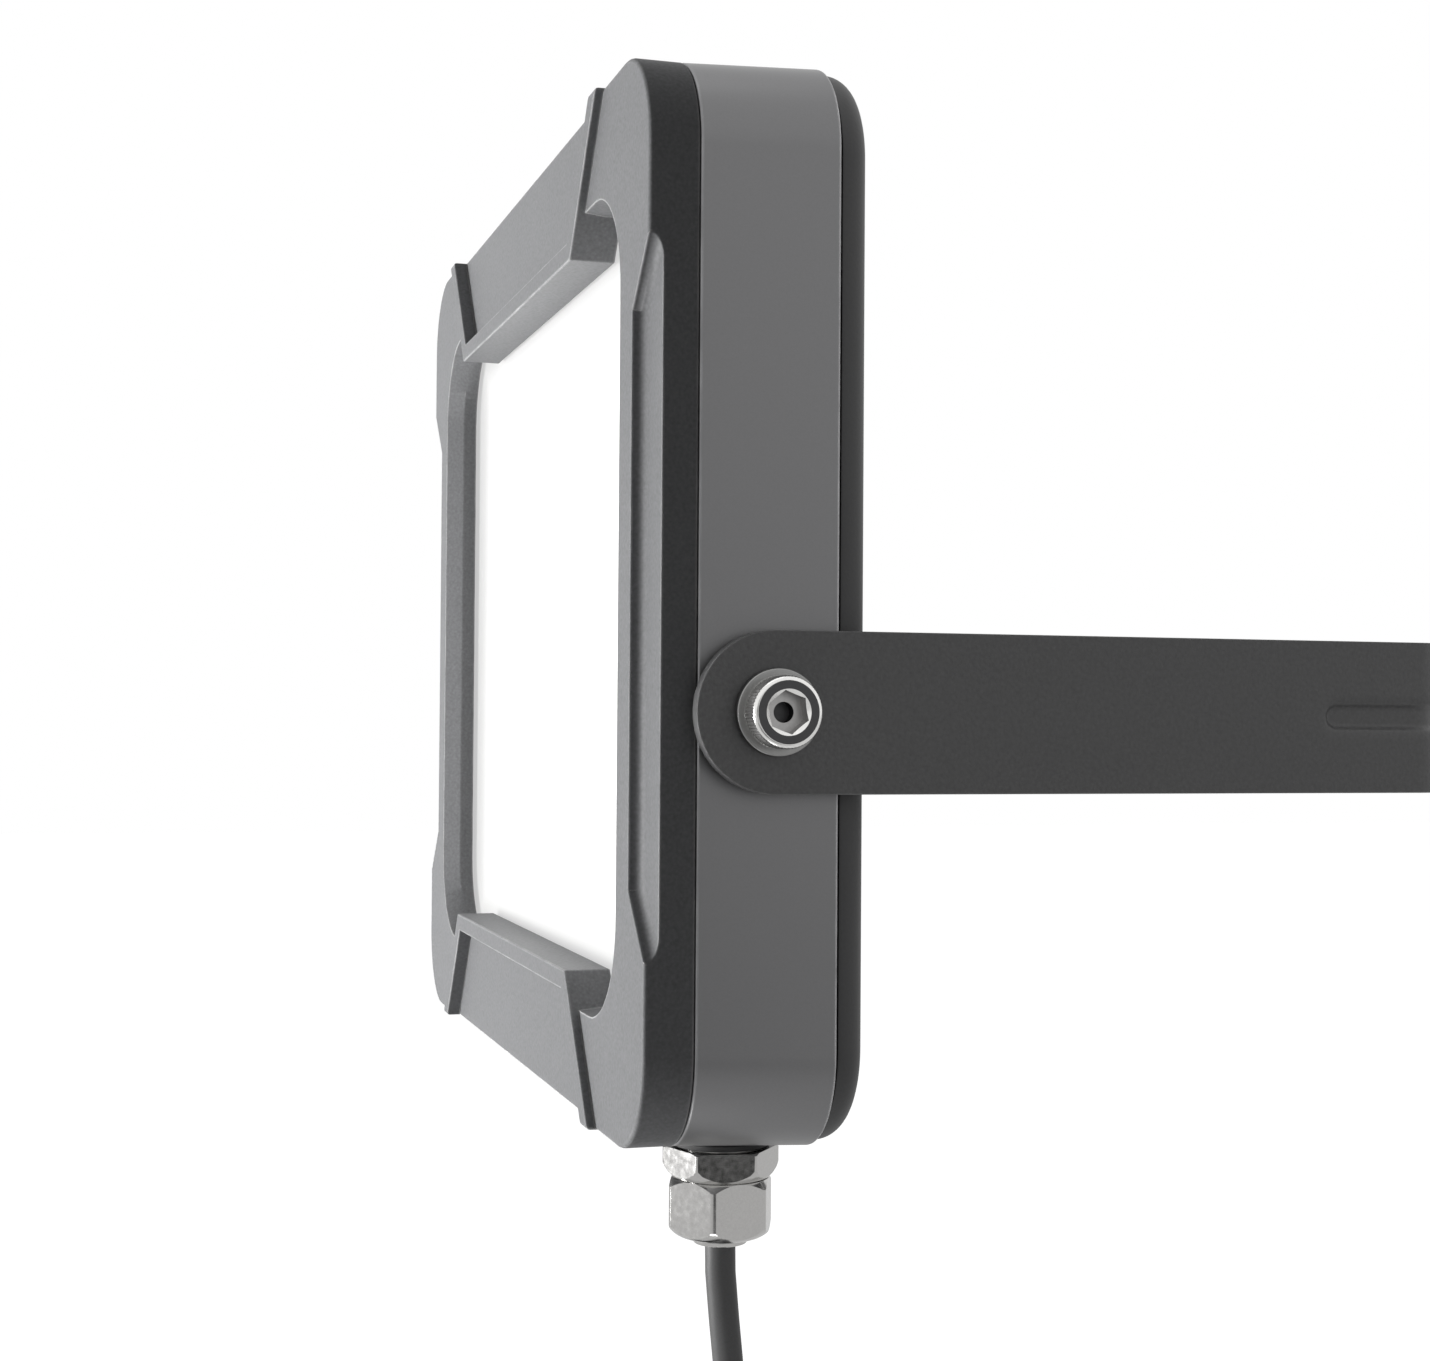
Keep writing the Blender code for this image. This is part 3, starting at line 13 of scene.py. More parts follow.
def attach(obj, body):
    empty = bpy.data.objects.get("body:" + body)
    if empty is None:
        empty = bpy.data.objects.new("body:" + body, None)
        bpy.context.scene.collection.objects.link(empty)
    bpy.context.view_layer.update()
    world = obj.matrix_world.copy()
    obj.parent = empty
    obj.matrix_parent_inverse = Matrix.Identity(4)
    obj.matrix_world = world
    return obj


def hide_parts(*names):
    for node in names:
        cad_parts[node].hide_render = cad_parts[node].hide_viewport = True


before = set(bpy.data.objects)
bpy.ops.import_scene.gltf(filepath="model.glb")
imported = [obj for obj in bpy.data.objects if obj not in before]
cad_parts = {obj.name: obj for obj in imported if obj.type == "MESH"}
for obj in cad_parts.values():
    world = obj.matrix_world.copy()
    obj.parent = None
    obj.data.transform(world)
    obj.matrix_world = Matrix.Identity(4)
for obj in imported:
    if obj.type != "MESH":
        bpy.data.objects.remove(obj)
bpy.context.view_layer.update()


# Camera: half a metre off to the lamp's side, level with the tilt axis, turned a little
# towards the wall, so that the head is seen edge on and the bracket runs off to the right.
def add_object(name, data):
    """A new object of the scene with this data."""
    obj = bpy.data.objects.new(name, data)
    bpy.context.scene.collection.objects.link(obj)
    return obj


CAMERA_PLACE = Vector((0.49184, -0.26442, -0.00198))
CAMERA_LENS = 53.0
SENSOR_WIDTH = 36.0
CAMERA_YAW = 0.2881
CAMERA_PITCH = 0.0201
CAMERA_ROLL = 0.0068
camera_data = bpy.data.cameras.new("photo_camera")
camera_data.lens = CAMERA_LENS
camera_data.sensor_width = SENSOR_WIDTH
camera = add_object("photo_camera", camera_data)
ahead = Vector(
    (
        -math.cos(CAMERA_YAW) * math.cos(CAMERA_PITCH),
        math.sin(CAMERA_YAW) * math.cos(CAMERA_PITCH),
        math.sin(CAMERA_PITCH),
    )
)
level = Vector((math.sin(CAMERA_YAW), math.cos(CAMERA_YAW), 0))
above = level.cross(ahead)
right = level * math.cos(CAMERA_ROLL) + above * math.sin(CAMERA_ROLL)
upward = above * math.cos(CAMERA_ROLL) - level * math.sin(CAMERA_ROLL)
turn = Matrix((right, upward, -ahead)).transposed().to_4x4()
camera.matrix_world = Matrix.Translation(CAMERA_PLACE) @ turn
bpy.context.scene.camera = camera
bpy.context.scene.view_settings.view_transform = "Standard"


# Studio: a pale floor just under the coil, a soft lamp low in front of the head, a weak one
# far above it and a faint one under its near corner. Metal mirrors a dark side and a painted floor
# reflection.
def leave_editing():
    """Leaves edit mode and deselects all, since an operator acts on everything selected."""
    if bpy.context.mode != "OBJECT":
        bpy.ops.object.mode_set(mode="OBJECT")
    bpy.ops.object.select_all(action="DESELECT")


def join(tree, place, value):
    """Links an input to a socket, or sets it to a plain value."""
    if isinstance(value, bpy.types.NodeSocket):
        tree.links.new(value, place)
    else:
        place.default_value = value


def sum_node(tree, operation, *values):
    """A Math node on sockets or plain numbers, giving its output socket."""
    node = tree.nodes.new("ShaderNodeMath")
    node.operation = operation
    for place, value in zip(node.inputs, values):
        join(tree, place, value)
    return node.outputs[0]


def vector_node(tree, operation, first, second):
    """A Vector Math node: SCALE gives a vector, DISTANCE and DOT_PRODUCT give a number."""
    node = tree.nodes.new("ShaderNodeVectorMath")
    node.operation = operation
    scales = operation == "SCALE"
    join(tree, node.inputs[0], first)
    join(tree, node.inputs["Scale" if scales else 1], second)
    return node.outputs[0 if scales else "Value"]


def smooth_ramp(tree, value, from_min, from_max, to_min, to_max):
    """Carries value smoothly from one range to another, giving the output socket."""
    node = tree.nodes.new("ShaderNodeMapRange")
    node.interpolation_type = "SMOOTHSTEP"
    join(tree, node.inputs["Value"], value)
    node.inputs["From Min"].default_value = from_min
    node.inputs["From Max"].default_value = from_max
    node.inputs["To Min"].default_value = to_min
    node.inputs["To Max"].default_value = to_max
    return node.outputs[0]


FLOOR_Z = -0.2372
FLOOR_SIZE = 8.0
FLOOR_GREY = 0.85
FLOOR_WHITENESS = 0.94
FLOOR_PAINTED_REFLECTION = 0.72
DARK_SPOT = (0.85, -0.27, 0)
DARK_SPOT_FULL = 0.15
DARK_SPOT_END = 0.50
DARK_SPOT_LEVEL = 0.03
leave_editing()
bpy.ops.mesh.primitive_plane_add(size=FLOOR_SIZE, location=(0, 0, FLOOR_Z))
floor = bpy.context.object
floor.name = "studio_floor"
floor_paint = bpy.data.materials.new("studio_floor")
floor_paint.use_nodes = True
floor_tree = floor_paint.node_tree
floor_rays = floor_tree.nodes.new("ShaderNodeLightPath").outputs
floor_place = floor_tree.nodes.new("ShaderNodeTexCoord").outputs["Object"]
floor_seen = sum_node(floor_tree, "MULTIPLY", floor_rays["Is Camera Ray"], FLOOR_WHITENESS)
# In reflections the floor has no colour of its own and glows as a painted reflection, dark near DARK_SPOT.
floor_spot = vector_node(floor_tree, "DISTANCE", floor_place, DARK_SPOT)
floor_painted_reflection = smooth_ramp(
    floor_tree, floor_spot, DARK_SPOT_FULL, DARK_SPOT_END, DARK_SPOT_LEVEL, FLOOR_PAINTED_REFLECTION
)
floor_mirrored = floor_rays["Is Glossy Ray"]
floor_glow_and_painted_reflection = sum_node(floor_tree, "MULTIPLY_ADD", floor_mirrored, floor_painted_reflection, floor_seen)
floor_plain = sum_node(floor_tree, "MULTIPLY_ADD", floor_mirrored, -FLOOR_GREY, FLOOR_GREY)
for label, value in (
    ("Roughness", 0.9),
    ("Specular IOR Level", 0.0),
    ("Base Color", floor_plain),
    ("Emission Color", (1, 1, 1, 1)),
    ("Emission Strength", floor_glow_and_painted_reflection),
):
    join(floor_tree, floor_tree.nodes["Principled BSDF"].inputs[label], value)
floor.data.materials.append(floor_paint)

# Metal mirrors a dark room on the camera's side and the white backdrop everywhere else.
AMBIENT = 0.09
DARK_SIDE = Vector((0.979, -0.103, -0.174))
DARK_SIDE_LEVEL = 0.03
DARK_SIDE_FULL = math.cos(math.radians(8))
DARK_SIDE_END = math.cos(math.radians(27))
world = bpy.data.worlds.new("studio_world")
world.use_nodes = True
bpy.context.scene.world = world
sky = world.node_tree
ambient = sky.nodes["Background"]
white = sky.nodes.new("ShaderNodeBackground")
rays = sky.nodes.new("ShaderNodeLightPath").outputs
view_line = sky.nodes.new("ShaderNodeTexCoord").outputs["Generated"]
towards = vector_node(sky, "DOT_PRODUCT", view_line, DARK_SIDE.normalized())
dark_side = smooth_ramp(sky, towards, DARK_SIDE_END, DARK_SIDE_FULL, 0.0, 1.0 - DARK_SIDE_LEVEL)
mirrored = sum_node(sky, "MULTIPLY", dark_side, rays["Is Glossy Ray"])
whiteness = sum_node(sky, "SUBTRACT", 1.0, mirrored)
for backdrop, strength in ((ambient, AMBIENT), (white, whiteness)):
    backdrop.inputs["Color"].default_value = (1, 1, 1, 1)
    join(sky, backdrop.inputs["Strength"], strength)
camera_or_glossy = sum_node(sky, "MAXIMUM", rays["Is Camera Ray"], rays["Is Glossy Ray"])
seen_rays = sum_node(sky, "MAXIMUM", camera_or_glossy, rays["Is Transmission Ray"])
world_mix = sky.nodes.new("ShaderNodeMixShader")
for place, value in zip(world_mix.inputs, (seen_rays, ambient.outputs[0], white.outputs[0])):
    join(sky, place, value)
join(sky, sky.nodes["World Output"].inputs["Surface"], world_mix.outputs[0])

LAMPS = (
    ("front_lamp", (-0.19, -0.92, -0.13), (0.30, 0.18), 8.7),
    ("top_lamp", (0.1, -0.4, 1.6), (1.2, 1.2), 2.1),
    ("under_lamp", (0.15, -0.19, -0.21), (0.06, 0.06), 0.035),
)
LAMP_TARGET = Vector((0, -0.14, 0))
for lamp_name, lamp_place, lamp_size, lamp_power in LAMPS:
    lamp_data = bpy.data.lights.new(lamp_name, "AREA")
    lamp_data.shape = "ELLIPSE"
    lamp_data.size, lamp_data.size_y = lamp_size
    lamp_data.energy = lamp_power
    lamp = add_object(lamp_name, lamp_data)
    lamp.location = lamp_place
    lamp.rotation_euler = (LAMP_TARGET - Vector(lamp_place)).to_track_quat("-Z", "Y").to_euler()


# Supply cord: a round black rubber-sheathed cord of 6 mm. It leaves the gland straight down,
# and its spare length is wound into a neat coil of 4.25 turns in two layers below the head.
def new_group(name, inputs, outputs):
    """An empty shader group with its sockets, and its two end nodes."""
    group = bpy.data.node_groups.new(name, "ShaderNodeTree")
    kinds = {"float": "NodeSocketFloat", "colour": "NodeSocketColor", "vector": "NodeSocketVector"}
    for label, kind, value in inputs:
        socket = group.interface.new_socket(name=label, in_out="INPUT", socket_type=kinds[kind])
        socket.default_value = value
    for label, kind in outputs:
        group.interface.new_socket(name=label, in_out="OUTPUT", socket_type=kinds[kind])
    return group, group.nodes.new("NodeGroupInput"), group.nodes.new("NodeGroupOutput")


def noise_node(tree, vector, scale, detail=2.0, roughness=0.5):
    """A noise texture on a vector, giving its value socket."""
    node = tree.nodes.new("ShaderNodeTexNoise")
    node.inputs["Detail"].default_value = detail
    node.inputs["Roughness"].default_value = roughness
    join(tree, node.inputs["Vector"], vector)
    join(tree, node.inputs["Scale"], scale)
    return node.outputs["Fac"]


def group_node(tree, group, settings):
    """A node that runs a shader group with these inputs, giving its outputs."""
    node = tree.nodes.new("ShaderNodeGroup")
    node.node_tree = group
    for label, value in settings.items():
        join(tree, node.inputs[label], value)
    return node.outputs


def mix_colour(tree, share, first, second):
    """The first colour where share is 0 and the second where it is 1."""
    node = tree.nodes.new("ShaderNodeMix")
    node.data_type = "RGBA"
    for label, value in (("Factor", share), ("A", first), ("B", second)):
        join(tree, node.inputs[label], value)
    return node.outputs["Result"]


def build_grain():
    """Fine pebbled grain with slow blotches: colour, roughness and height of a surface."""
    group, start, end = new_group(
        "surface_grain",
        [
            ("Colour", "colour", (0.2, 0.2, 0.2, 1)),
            ("Grain per metre", "float", 1500.0),
            ("Grain shade", "float", 0.2),
            ("Blotch shade", "float", 0.1),
            ("Roughness", "float", 0.5),
            ("Roughness spread", "float", 0.1),
        ],
        [("Colour", "colour"), ("Roughness", "float"), ("Height", "float")],
    )
    place = group.nodes.new("ShaderNodeTexCoord").outputs["Object"]
    scale, roughness = start.outputs["Grain per metre"], start.outputs["Roughness"]
    fine = noise_node(group, place, scale, 3.0, 0.6)
    cells = group.nodes.new("ShaderNodeTexVoronoi")
    cells.feature = "SMOOTH_F1"
    join(group, cells.inputs["Vector"], place)
    join(group, cells.inputs["Scale"], scale)
    blotch = sum_node(group, "SUBTRACT", noise_node(group, place, 18.0, 3.0), 0.5)
    height = sum_node(group, "MULTIPLY_ADD", cells.outputs["Distance"], -0.6, fine)
    grain = sum_node(group, "SUBTRACT", height, 0.2)
    grain_part = sum_node(group, "MULTIPLY", grain, start.outputs["Grain shade"])
    blotch_part = sum_node(group, "MULTIPLY", blotch, start.outputs["Blotch shade"])
    shade = sum_node(group, "ADD", sum_node(group, "ADD", grain_part, blotch_part), 1.0)
    rough = sum_node(group, "MULTIPLY_ADD", blotch, start.outputs["Roughness spread"], roughness)
    join(group, end.inputs["Colour"], vector_node(group, "SCALE", start.outputs["Colour"], shade))
    join(group, end.inputs["Roughness"], rough)
    join(group, end.inputs["Height"], height)
    return group


def build_edge_highlight():
    """A painted highlight mask that is 1 along outer edges and 0 on open faces."""
    group, start, end = new_group(
        "edge_wear",
        [("Width", "float", 0.0006), ("Strength", "float", 1.0)],
        [("Mask", "float")],
    )
    bevel = group.nodes.new("ShaderNodeBevel")
    bevel.samples = 4
    join(group, bevel.inputs["Radius"], start.outputs["Width"])
    plain = group.nodes.new("ShaderNodeNewGeometry").outputs["Normal"]
    dot = vector_node(group, "DOT_PRODUCT", bevel.outputs[0], plain)
    bend = sum_node(group, "MULTIPLY", sum_node(group, "SUBTRACT", 1.0, dot), 9.0)
    place = group.nodes.new("ShaderNodeTexCoord").outputs["Object"]
    broken = sum_node(group, "MULTIPLY_ADD", noise_node(group, place, 160.0, 4.0), 1.4, -0.2)
    edge_highlight = sum_node(group, "MULTIPLY", bend, broken)
    clamp = group.nodes.new("ShaderNodeClamp")
    mask = sum_node(group, "MULTIPLY", edge_highlight, start.outputs["Strength"])
    join(group, clamp.inputs["Value"], mask)
    join(group, end.inputs["Mask"], clamp.outputs[0])
    return group


SURFACE_GRAIN = build_grain()
EDGE_HIGHLIGHT = build_edge_highlight()


def grained(
    name, colour, roughness, grain=1500.0, grain_shade=0.2, blotch=0.1, spread=0.1, bump=0.3,
    bump_depth=0.00005, metallic=0.0, specular=0.5, edge_highlight=None, edge_highlight_strength=1.0, edge_highlight_width=0.0006,
):
    """A finish with grain in colour, roughness and bump, and painted edge highlights where edge_highlight is
    a colour.
    """
    material = bpy.data.materials.new(name)
    material.use_nodes = True
    tree = material.node_tree
    shader = tree.nodes["Principled BSDF"].inputs
    settings = {
        "Colour": (*colour, 1),
        "Grain per metre": grain,
        "Grain shade": grain_shade,
        "Blotch shade": blotch,
        "Roughness": roughness,
        "Roughness spread": spread,
    }
    surface = group_node(tree, SURFACE_GRAIN, settings)
    bump_node = tree.nodes.new("ShaderNodeBump")
    bump_node.inputs["Strength"].default_value = bump
    bump_node.inputs["Distance"].default_value = bump_depth
    join(tree, bump_node.inputs["Height"], surface["Height"])
    paint = surface["Colour"]
    if edge_highlight is not None:
        # Outer edges are lightened towards the given colour as a painted highlight.
        edge_light = group_node(tree, EDGE_HIGHLIGHT, {"Width": edge_highlight_width, "Strength": edge_highlight_strength})
        paint = mix_colour(tree, edge_light["Mask"], paint, (*edge_highlight, 1))
    for label, value in (
        ("Metallic", metallic),
        ("Specular IOR Level", specular),
        ("Normal", bump_node.outputs[0]),
        ("Roughness", surface["Roughness"]),
        ("Base Color", paint),
    ):
        join(tree, shader[label], value)
    return material


TILT_AXIS_Y = -0.145
GLAND_X = 0.095
CORD_RADIUS = 0.003
CORD_TOP = -0.1034
CORD_BEND = (
    (GLAND_X, 0.0001, -0.1094),
    (GLAND_X, 0.0009, -0.1185),
    (GLAND_X, 0.0020, -0.1295),
    (GLAND_X + 0.0004, 0.0031, -0.1440),
    (GLAND_X + 0.0005, 0.0036, -0.1580),
    (GLAND_X + 0.0001, 0.0032, -0.1710),
    (GLAND_X, 0.0030, -0.1787),
)
COIL_TURNS = 4.25
COIL_OUTER_TURN = 0.041
COIL_STEP = 0.0065
COIL_LAYER = 0.0066
COIL_CENTRE = Vector((GLAND_X - COIL_OUTER_TURN, 0.003, -0.191))
POINTS_A_TURN = 72
COIL_TAIL = 0.006


def smooth_through(route, count):
    """count + 1 points on a smooth curve that passes through every point of route."""
    nodes = [Vector(p) for p in route]
    nodes = [2 * nodes[0] - nodes[1]] + nodes + [2 * nodes[-1] - nodes[-2]]
    spans = len(route) - 1
    points = []
    for i in range(count + 1):
        place = i / count * spans
        k = min(int(place), spans - 1)
        t = place - k
        a, b, c, d = nodes[k : k + 4]
        square = 2 * a - 5 * b + 4 * c - d
        cubic = 3 * b - a - 3 * c + d
        points.append((2 * b + (c - a) * t + square * t**2 + cubic * t**3) / 2)
    return points


def coil_point(turns):
    """The coil's centre line after so many turns, wound clockwise seen from the front."""
    radius = COIL_OUTER_TURN - COIL_STEP * min(turns, COIL_TURNS - turns)
    climb = min(max((turns - COIL_TURNS / 2 + 0.25) / 0.5, 0), 1)
    climb = climb * climb * (3 - 2 * climb)
    angle = -2 * math.pi * turns
    return COIL_CENTRE + Vector((radius * math.cos(angle), -COIL_LAYER * climb, radius * math.sin(angle)))


def wire(name, points, radius, material, resolution=6):
    """A round wire whose centre line runs through points given from the tilt axis."""
    data = bpy.data.curves.new(name, "CURVE")
    data.dimensions = "3D"
    data.bevel_depth = radius
    data.bevel_resolution = resolution
    data.use_fill_caps = True
    spline = data.splines.new("POLY")
    spline.points.add(len(points) - 1)
    for spot, point in zip(spline.points, points):
        spot.co = (point[0], point[1] + TILT_AXIS_Y, point[2], 1)
    spline.use_smooth = True
    data.materials.append(material)
    return add_object(name, data)


def declare(obj, body, nodes):
    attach(obj, body)
    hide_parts(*nodes)


CORD_RUBBER = grained("cord_rubber", (0.065, 0.065, 0.066), 0.5, 2600.0, 0.3, 0.2, 0.12, 0.25, 0.00004)
coil_start = (GLAND_X, COIL_CENTRE.y, COIL_CENTRE.z + 2 * CORD_RADIUS)
cord_points = [(GLAND_X, 0, CORD_TOP)]
cord_points += smooth_through(CORD_BEND, 28)
cord_points.append(coil_start)
coil_count = round(COIL_TURNS * POINTS_A_TURN)
cord_points += [coil_point(COIL_TURNS * i / coil_count) for i in range(coil_count + 1)]
coil_end = coil_point(COIL_TURNS) + Vector((-COIL_TAIL, 0, 0))
cord_points.append(coil_end)
supply_cord = wire("supply_cord_run", cord_points, CORD_RADIUS, CORD_RUBBER, 8)
declare(supply_cord, "head", ["supply_cord", "supply_cord_coil"])


# Cord tie: a moulded nylon strap pulled tight round the top turns of the coil, with its
# lock on top and the cut end of the strap standing out of the lock.
def select_only(obj):
    """Leaves edit mode and makes obj the one selected and active object."""
    leave_editing()
    obj.select_set(True)
    bpy.context.view_layer.objects.active = obj


def pick(obj, kind, test):
    """Selects only the corners, edges or faces of obj that pass test, in edit mode."""
    select_only(obj)
    bpy.ops.object.mode_set(mode="EDIT")
    bpy.ops.mesh.select_mode(type=kind)
    bpy.ops.mesh.select_all(action="DESELECT")
    mesh = bmesh.from_edit_mesh(obj.data)
    parts = {"VERT": mesh.verts, "EDGE": mesh.edges, "FACE": mesh.faces}[kind]
    chosen = [part for part in parts if test(part)]
    for part in chosen:
        part.select_set(True)
    mesh.select_flush_mode()
    bmesh.update_edit_mesh(obj.data)
    return len(chosen)


def modify(obj, kind, **settings):
    """Adds one modifier with its settings and applies it."""
    select_only(obj)
    modifier = obj.modifiers.new(kind.lower(), kind)
    for setting, value in settings.items():
        setattr(modifier, setting, value)
    bpy.ops.object.modifier_apply(modifier=modifier.name)


def soften(obj, width, steps, angle):
    """Rounds every edge that bends by more than angle, in degrees."""
    limit = math.radians(angle)
    modify(obj, "BEVEL", width=width, segments=steps, limit_method="ANGLE", angle_limit=limit)


def carve(obj, *tools, operation="DIFFERENCE"):
    """Cuts the tools from obj, joins them to it or keeps what they share, and removes them."""
    for tool in tools:
        modify(obj, "BOOLEAN", operation=operation, solver="EXACT", object=tool)
        bpy.data.meshes.remove(tool.data)


def weld(obj, *tools):
    """Joins the tools to obj."""
    carve(obj, *tools, operation="UNION")


def runs_along(edge, axis):
    """Whether an edge is straight along axis 0, 1 or 2."""
    run = edge.verts[1].co - edge.verts[0].co
    return abs(run[axis]) > 0.999 * run.length


def in_plane(part, axis, level, slack=0.00002):
    """Whether an edge or a face lies in the plane axis = level."""
    return all(abs(corner.co[axis] - level) < slack for corner in part.verts)


def block(name, low, high, corner=0.0, steps=20, along=1):
    """A block between two corners. Its edges along one axis are rounded by corner."""
    leave_editing()
    size = [b - a for a, b in zip(low, high)]
    middle = [(a + b) / 2 for a, b in zip(low, high)]
    bpy.ops.mesh.primitive_cube_add(size=1, location=middle, scale=size)
    obj = bpy.context.object
    obj.name = name
    bpy.ops.object.transform_apply()
    if corner:
        pick(obj, "EDGE", lambda edge: runs_along(edge, along))
        bpy.ops.mesh.bevel(offset=corner, segments=steps, profile=0.5, affect="EDGES")
    leave_editing()
    return obj


def rod(name, radius, low, high, axis, middle, sides=96, tip=None):
    """A round bar, or a cone with radius tip at its high end, along axis through middle."""
    leave_editing()
    turns = ((0, math.pi / 2, 0), (-math.pi / 2, 0, 0), (0, 0, 0))
    place = list(middle)
    place[axis] += (low + high) / 2
    bpy.ops.mesh.primitive_cone_add(
        vertices=sides,
        radius1=radius,
        radius2=radius if tip is None else tip,
        depth=high - low,
        location=place,
        rotation=turns[axis],
    )
    obj = bpy.context.object
    obj.name = name
    bpy.ops.object.transform_apply()
    return obj


def round_rims(obj, test, radius, steps=3):
    """Rounds the edges that pass test."""
    if pick(obj, "EDGE", test):
        bpy.ops.mesh.bevel(offset=radius, segments=steps, profile=0.5, affect="EDGES", clamp_overlap=True)
    leave_editing()


def scale_corners(obj, test, factors, centre):
    """Scales the corners that pass test about centre."""
    pick(obj, "VERT", test)
    bpy.ops.transform.resize(value=factors, center_override=centre)
    leave_editing()


def finish_piece(obj, material, body, nodes, angle=35):
    select_only(obj)
    bpy.ops.object.mode_set(mode="EDIT")
    bpy.ops.mesh.select_all(action="SELECT")
    bpy.ops.mesh.remove_doubles(threshold=0.000002)
    bpy.ops.mesh.normals_make_consistent(inside=False)
    select_only(obj)
    bpy.ops.object.shade_smooth_by_angle(angle=math.radians(angle))
    modify(obj, "WEIGHTED_NORMAL", keep_sharp=True, weight=50)
    obj.data.materials.clear()
    obj.data.materials.append(material)
    if body:
        declare(obj, body, nodes)
    return obj


TIE_WIDE = 0.0046
TIE_THICK = 0.0011
TIE_CORNER = 0.0024
BUNDLE_LOW = Vector((0, -0.0071, -0.16490))
BUNDLE_HIGH = Vector((0, 0.0065, -0.14975))
TIE_LOCK = Vector((0.0070, 0.0054, 0.0044))
TIE_NYLON = grained("tie_nylon", (0.028, 0.028, 0.030), 0.42, 900.0, 0.12, 0.15, 0.1, 0.15, 0.00003)
tie_x = (COIL_CENTRE.x - TIE_WIDE / 2, COIL_CENTRE.x + TIE_WIDE / 2)
lift = Vector((0, TILT_AXIS_Y, 0))
wall = Vector((0, TIE_THICK, TIE_THICK))
low, high = BUNDLE_LOW + lift - wall, BUNDLE_HIGH + lift + wall
tie = block("coil_tie", (tie_x[0], low.y, low.z), (tie_x[1], high.y, high.z), TIE_CORNER, 8, 0)
low, high = BUNDLE_LOW + lift, BUNDLE_HIGH + lift
lock_low = Vector((COIL_CENTRE.x - TIE_LOCK.x / 2, low.y + TIE_LOCK.y / 2, high.z + TIE_THICK - 0.0003))
lock = block("lock", lock_low, lock_low + TIE_LOCK, 0.0009, 4, 2)
tail_y = lock_low.y + TIE_LOCK.y / 2
tail_low = (tie_x[0] + 0.0002, tail_y - TIE_THICK / 2, high.z)
tail_high = (tie_x[1] - 0.0002, tail_y + TIE_THICK / 2, lock_low.z + TIE_LOCK.z + 0.0012)
weld(tie, lock, block("tail", tail_low, tail_high))
hole_low = (tie_x[0] - 0.002, low.y, low.z)
hole_high = (tie_x[1] + 0.002, high.y, high.z)
carve(tie, block("hole", hole_low, hole_high, TIE_CORNER - TIE_THICK, 8, 0))
soften(tie, 0.00025, 2, 50)
finish_piece(tie, TIE_NYLON, "head", ["cord_tie"])

# Bare end of the cord: brown, blue and green-yellow cores fanned out from the sheath, each
# with a crimped ferrule, which is a nylon collar with a tinned pin.
CORE_RADIUS = 0.0011
CORE_LONG = 0.024
CORE_FAN = 0.0036
COLLAR_RADIUS = 0.0019
COLLAR_LONG = 0.006
COLLAR_TAPER = 0.72
PIN_RADIUS = 0.0009
PIN_LONG = 0.008
BROWN = grained("brown_core", (0.16, 0.06, 0.02), 0.45, 1800.0, 0.1, 0.12, 0.1, 0.1)
BLUE = grained("blue_core", (0.03, 0.12, 0.40), 0.45, 1800.0, 0.1, 0.12, 0.1, 0.1)
EARTH = grained("green_yellow_core", (0.05, 0.25, 0.03), 0.45, 1800.0, 0.1, 0.12, 0.1, 0.1)
earth_tree = EARTH.node_tree
earth_paint = earth_tree.nodes["Principled BSDF"].inputs["Base Color"]
earth_green = earth_paint.links[0].from_socket
earth_place = earth_tree.nodes.new("ShaderNodeTexCoord").outputs["Object"]
earth_stripe = earth_tree.nodes.new("ShaderNodeTexWave")
earth_stripe.bands_direction = "DIAGONAL"
for label, value in (("Scale", 130.0), ("Distortion", 0.4), ("Vector", earth_place)):
    join(earth_tree, earth_stripe.inputs[label], value)
earth_edge = sum_node(earth_tree, "GREATER_THAN", earth_stripe.outputs["Fac"], 0.55)
earth_yellow = (0.62, 0.50, 0.03, 1)
join(earth_tree, earth_paint, mix_colour(earth_tree, earth_edge, earth_green, earth_yellow))
FERRULE_NYLON = grained("ferrule_nylon", (0.55, 0.53, 0.46), 0.4, 1500.0, 0.08, 0.1, 0.1, 0.1)
FERRULE_TIN = grained("ferrule_tin", (0.55, 0.55, 0.54), 0.32, 3000.0, 0.15, 0.15, 0.15, 0.3, metallic=1.0)
cord_fittings = [tie]
CORES = (
    ("live", BROWN, "brown_core", 0.0, 0.0015),
    ("neutral", BLUE, "blue_core", -0.0013, -0.0008),
    ("earth", EARTH, "green_yellow_core", 0.0013, -0.0008),
)
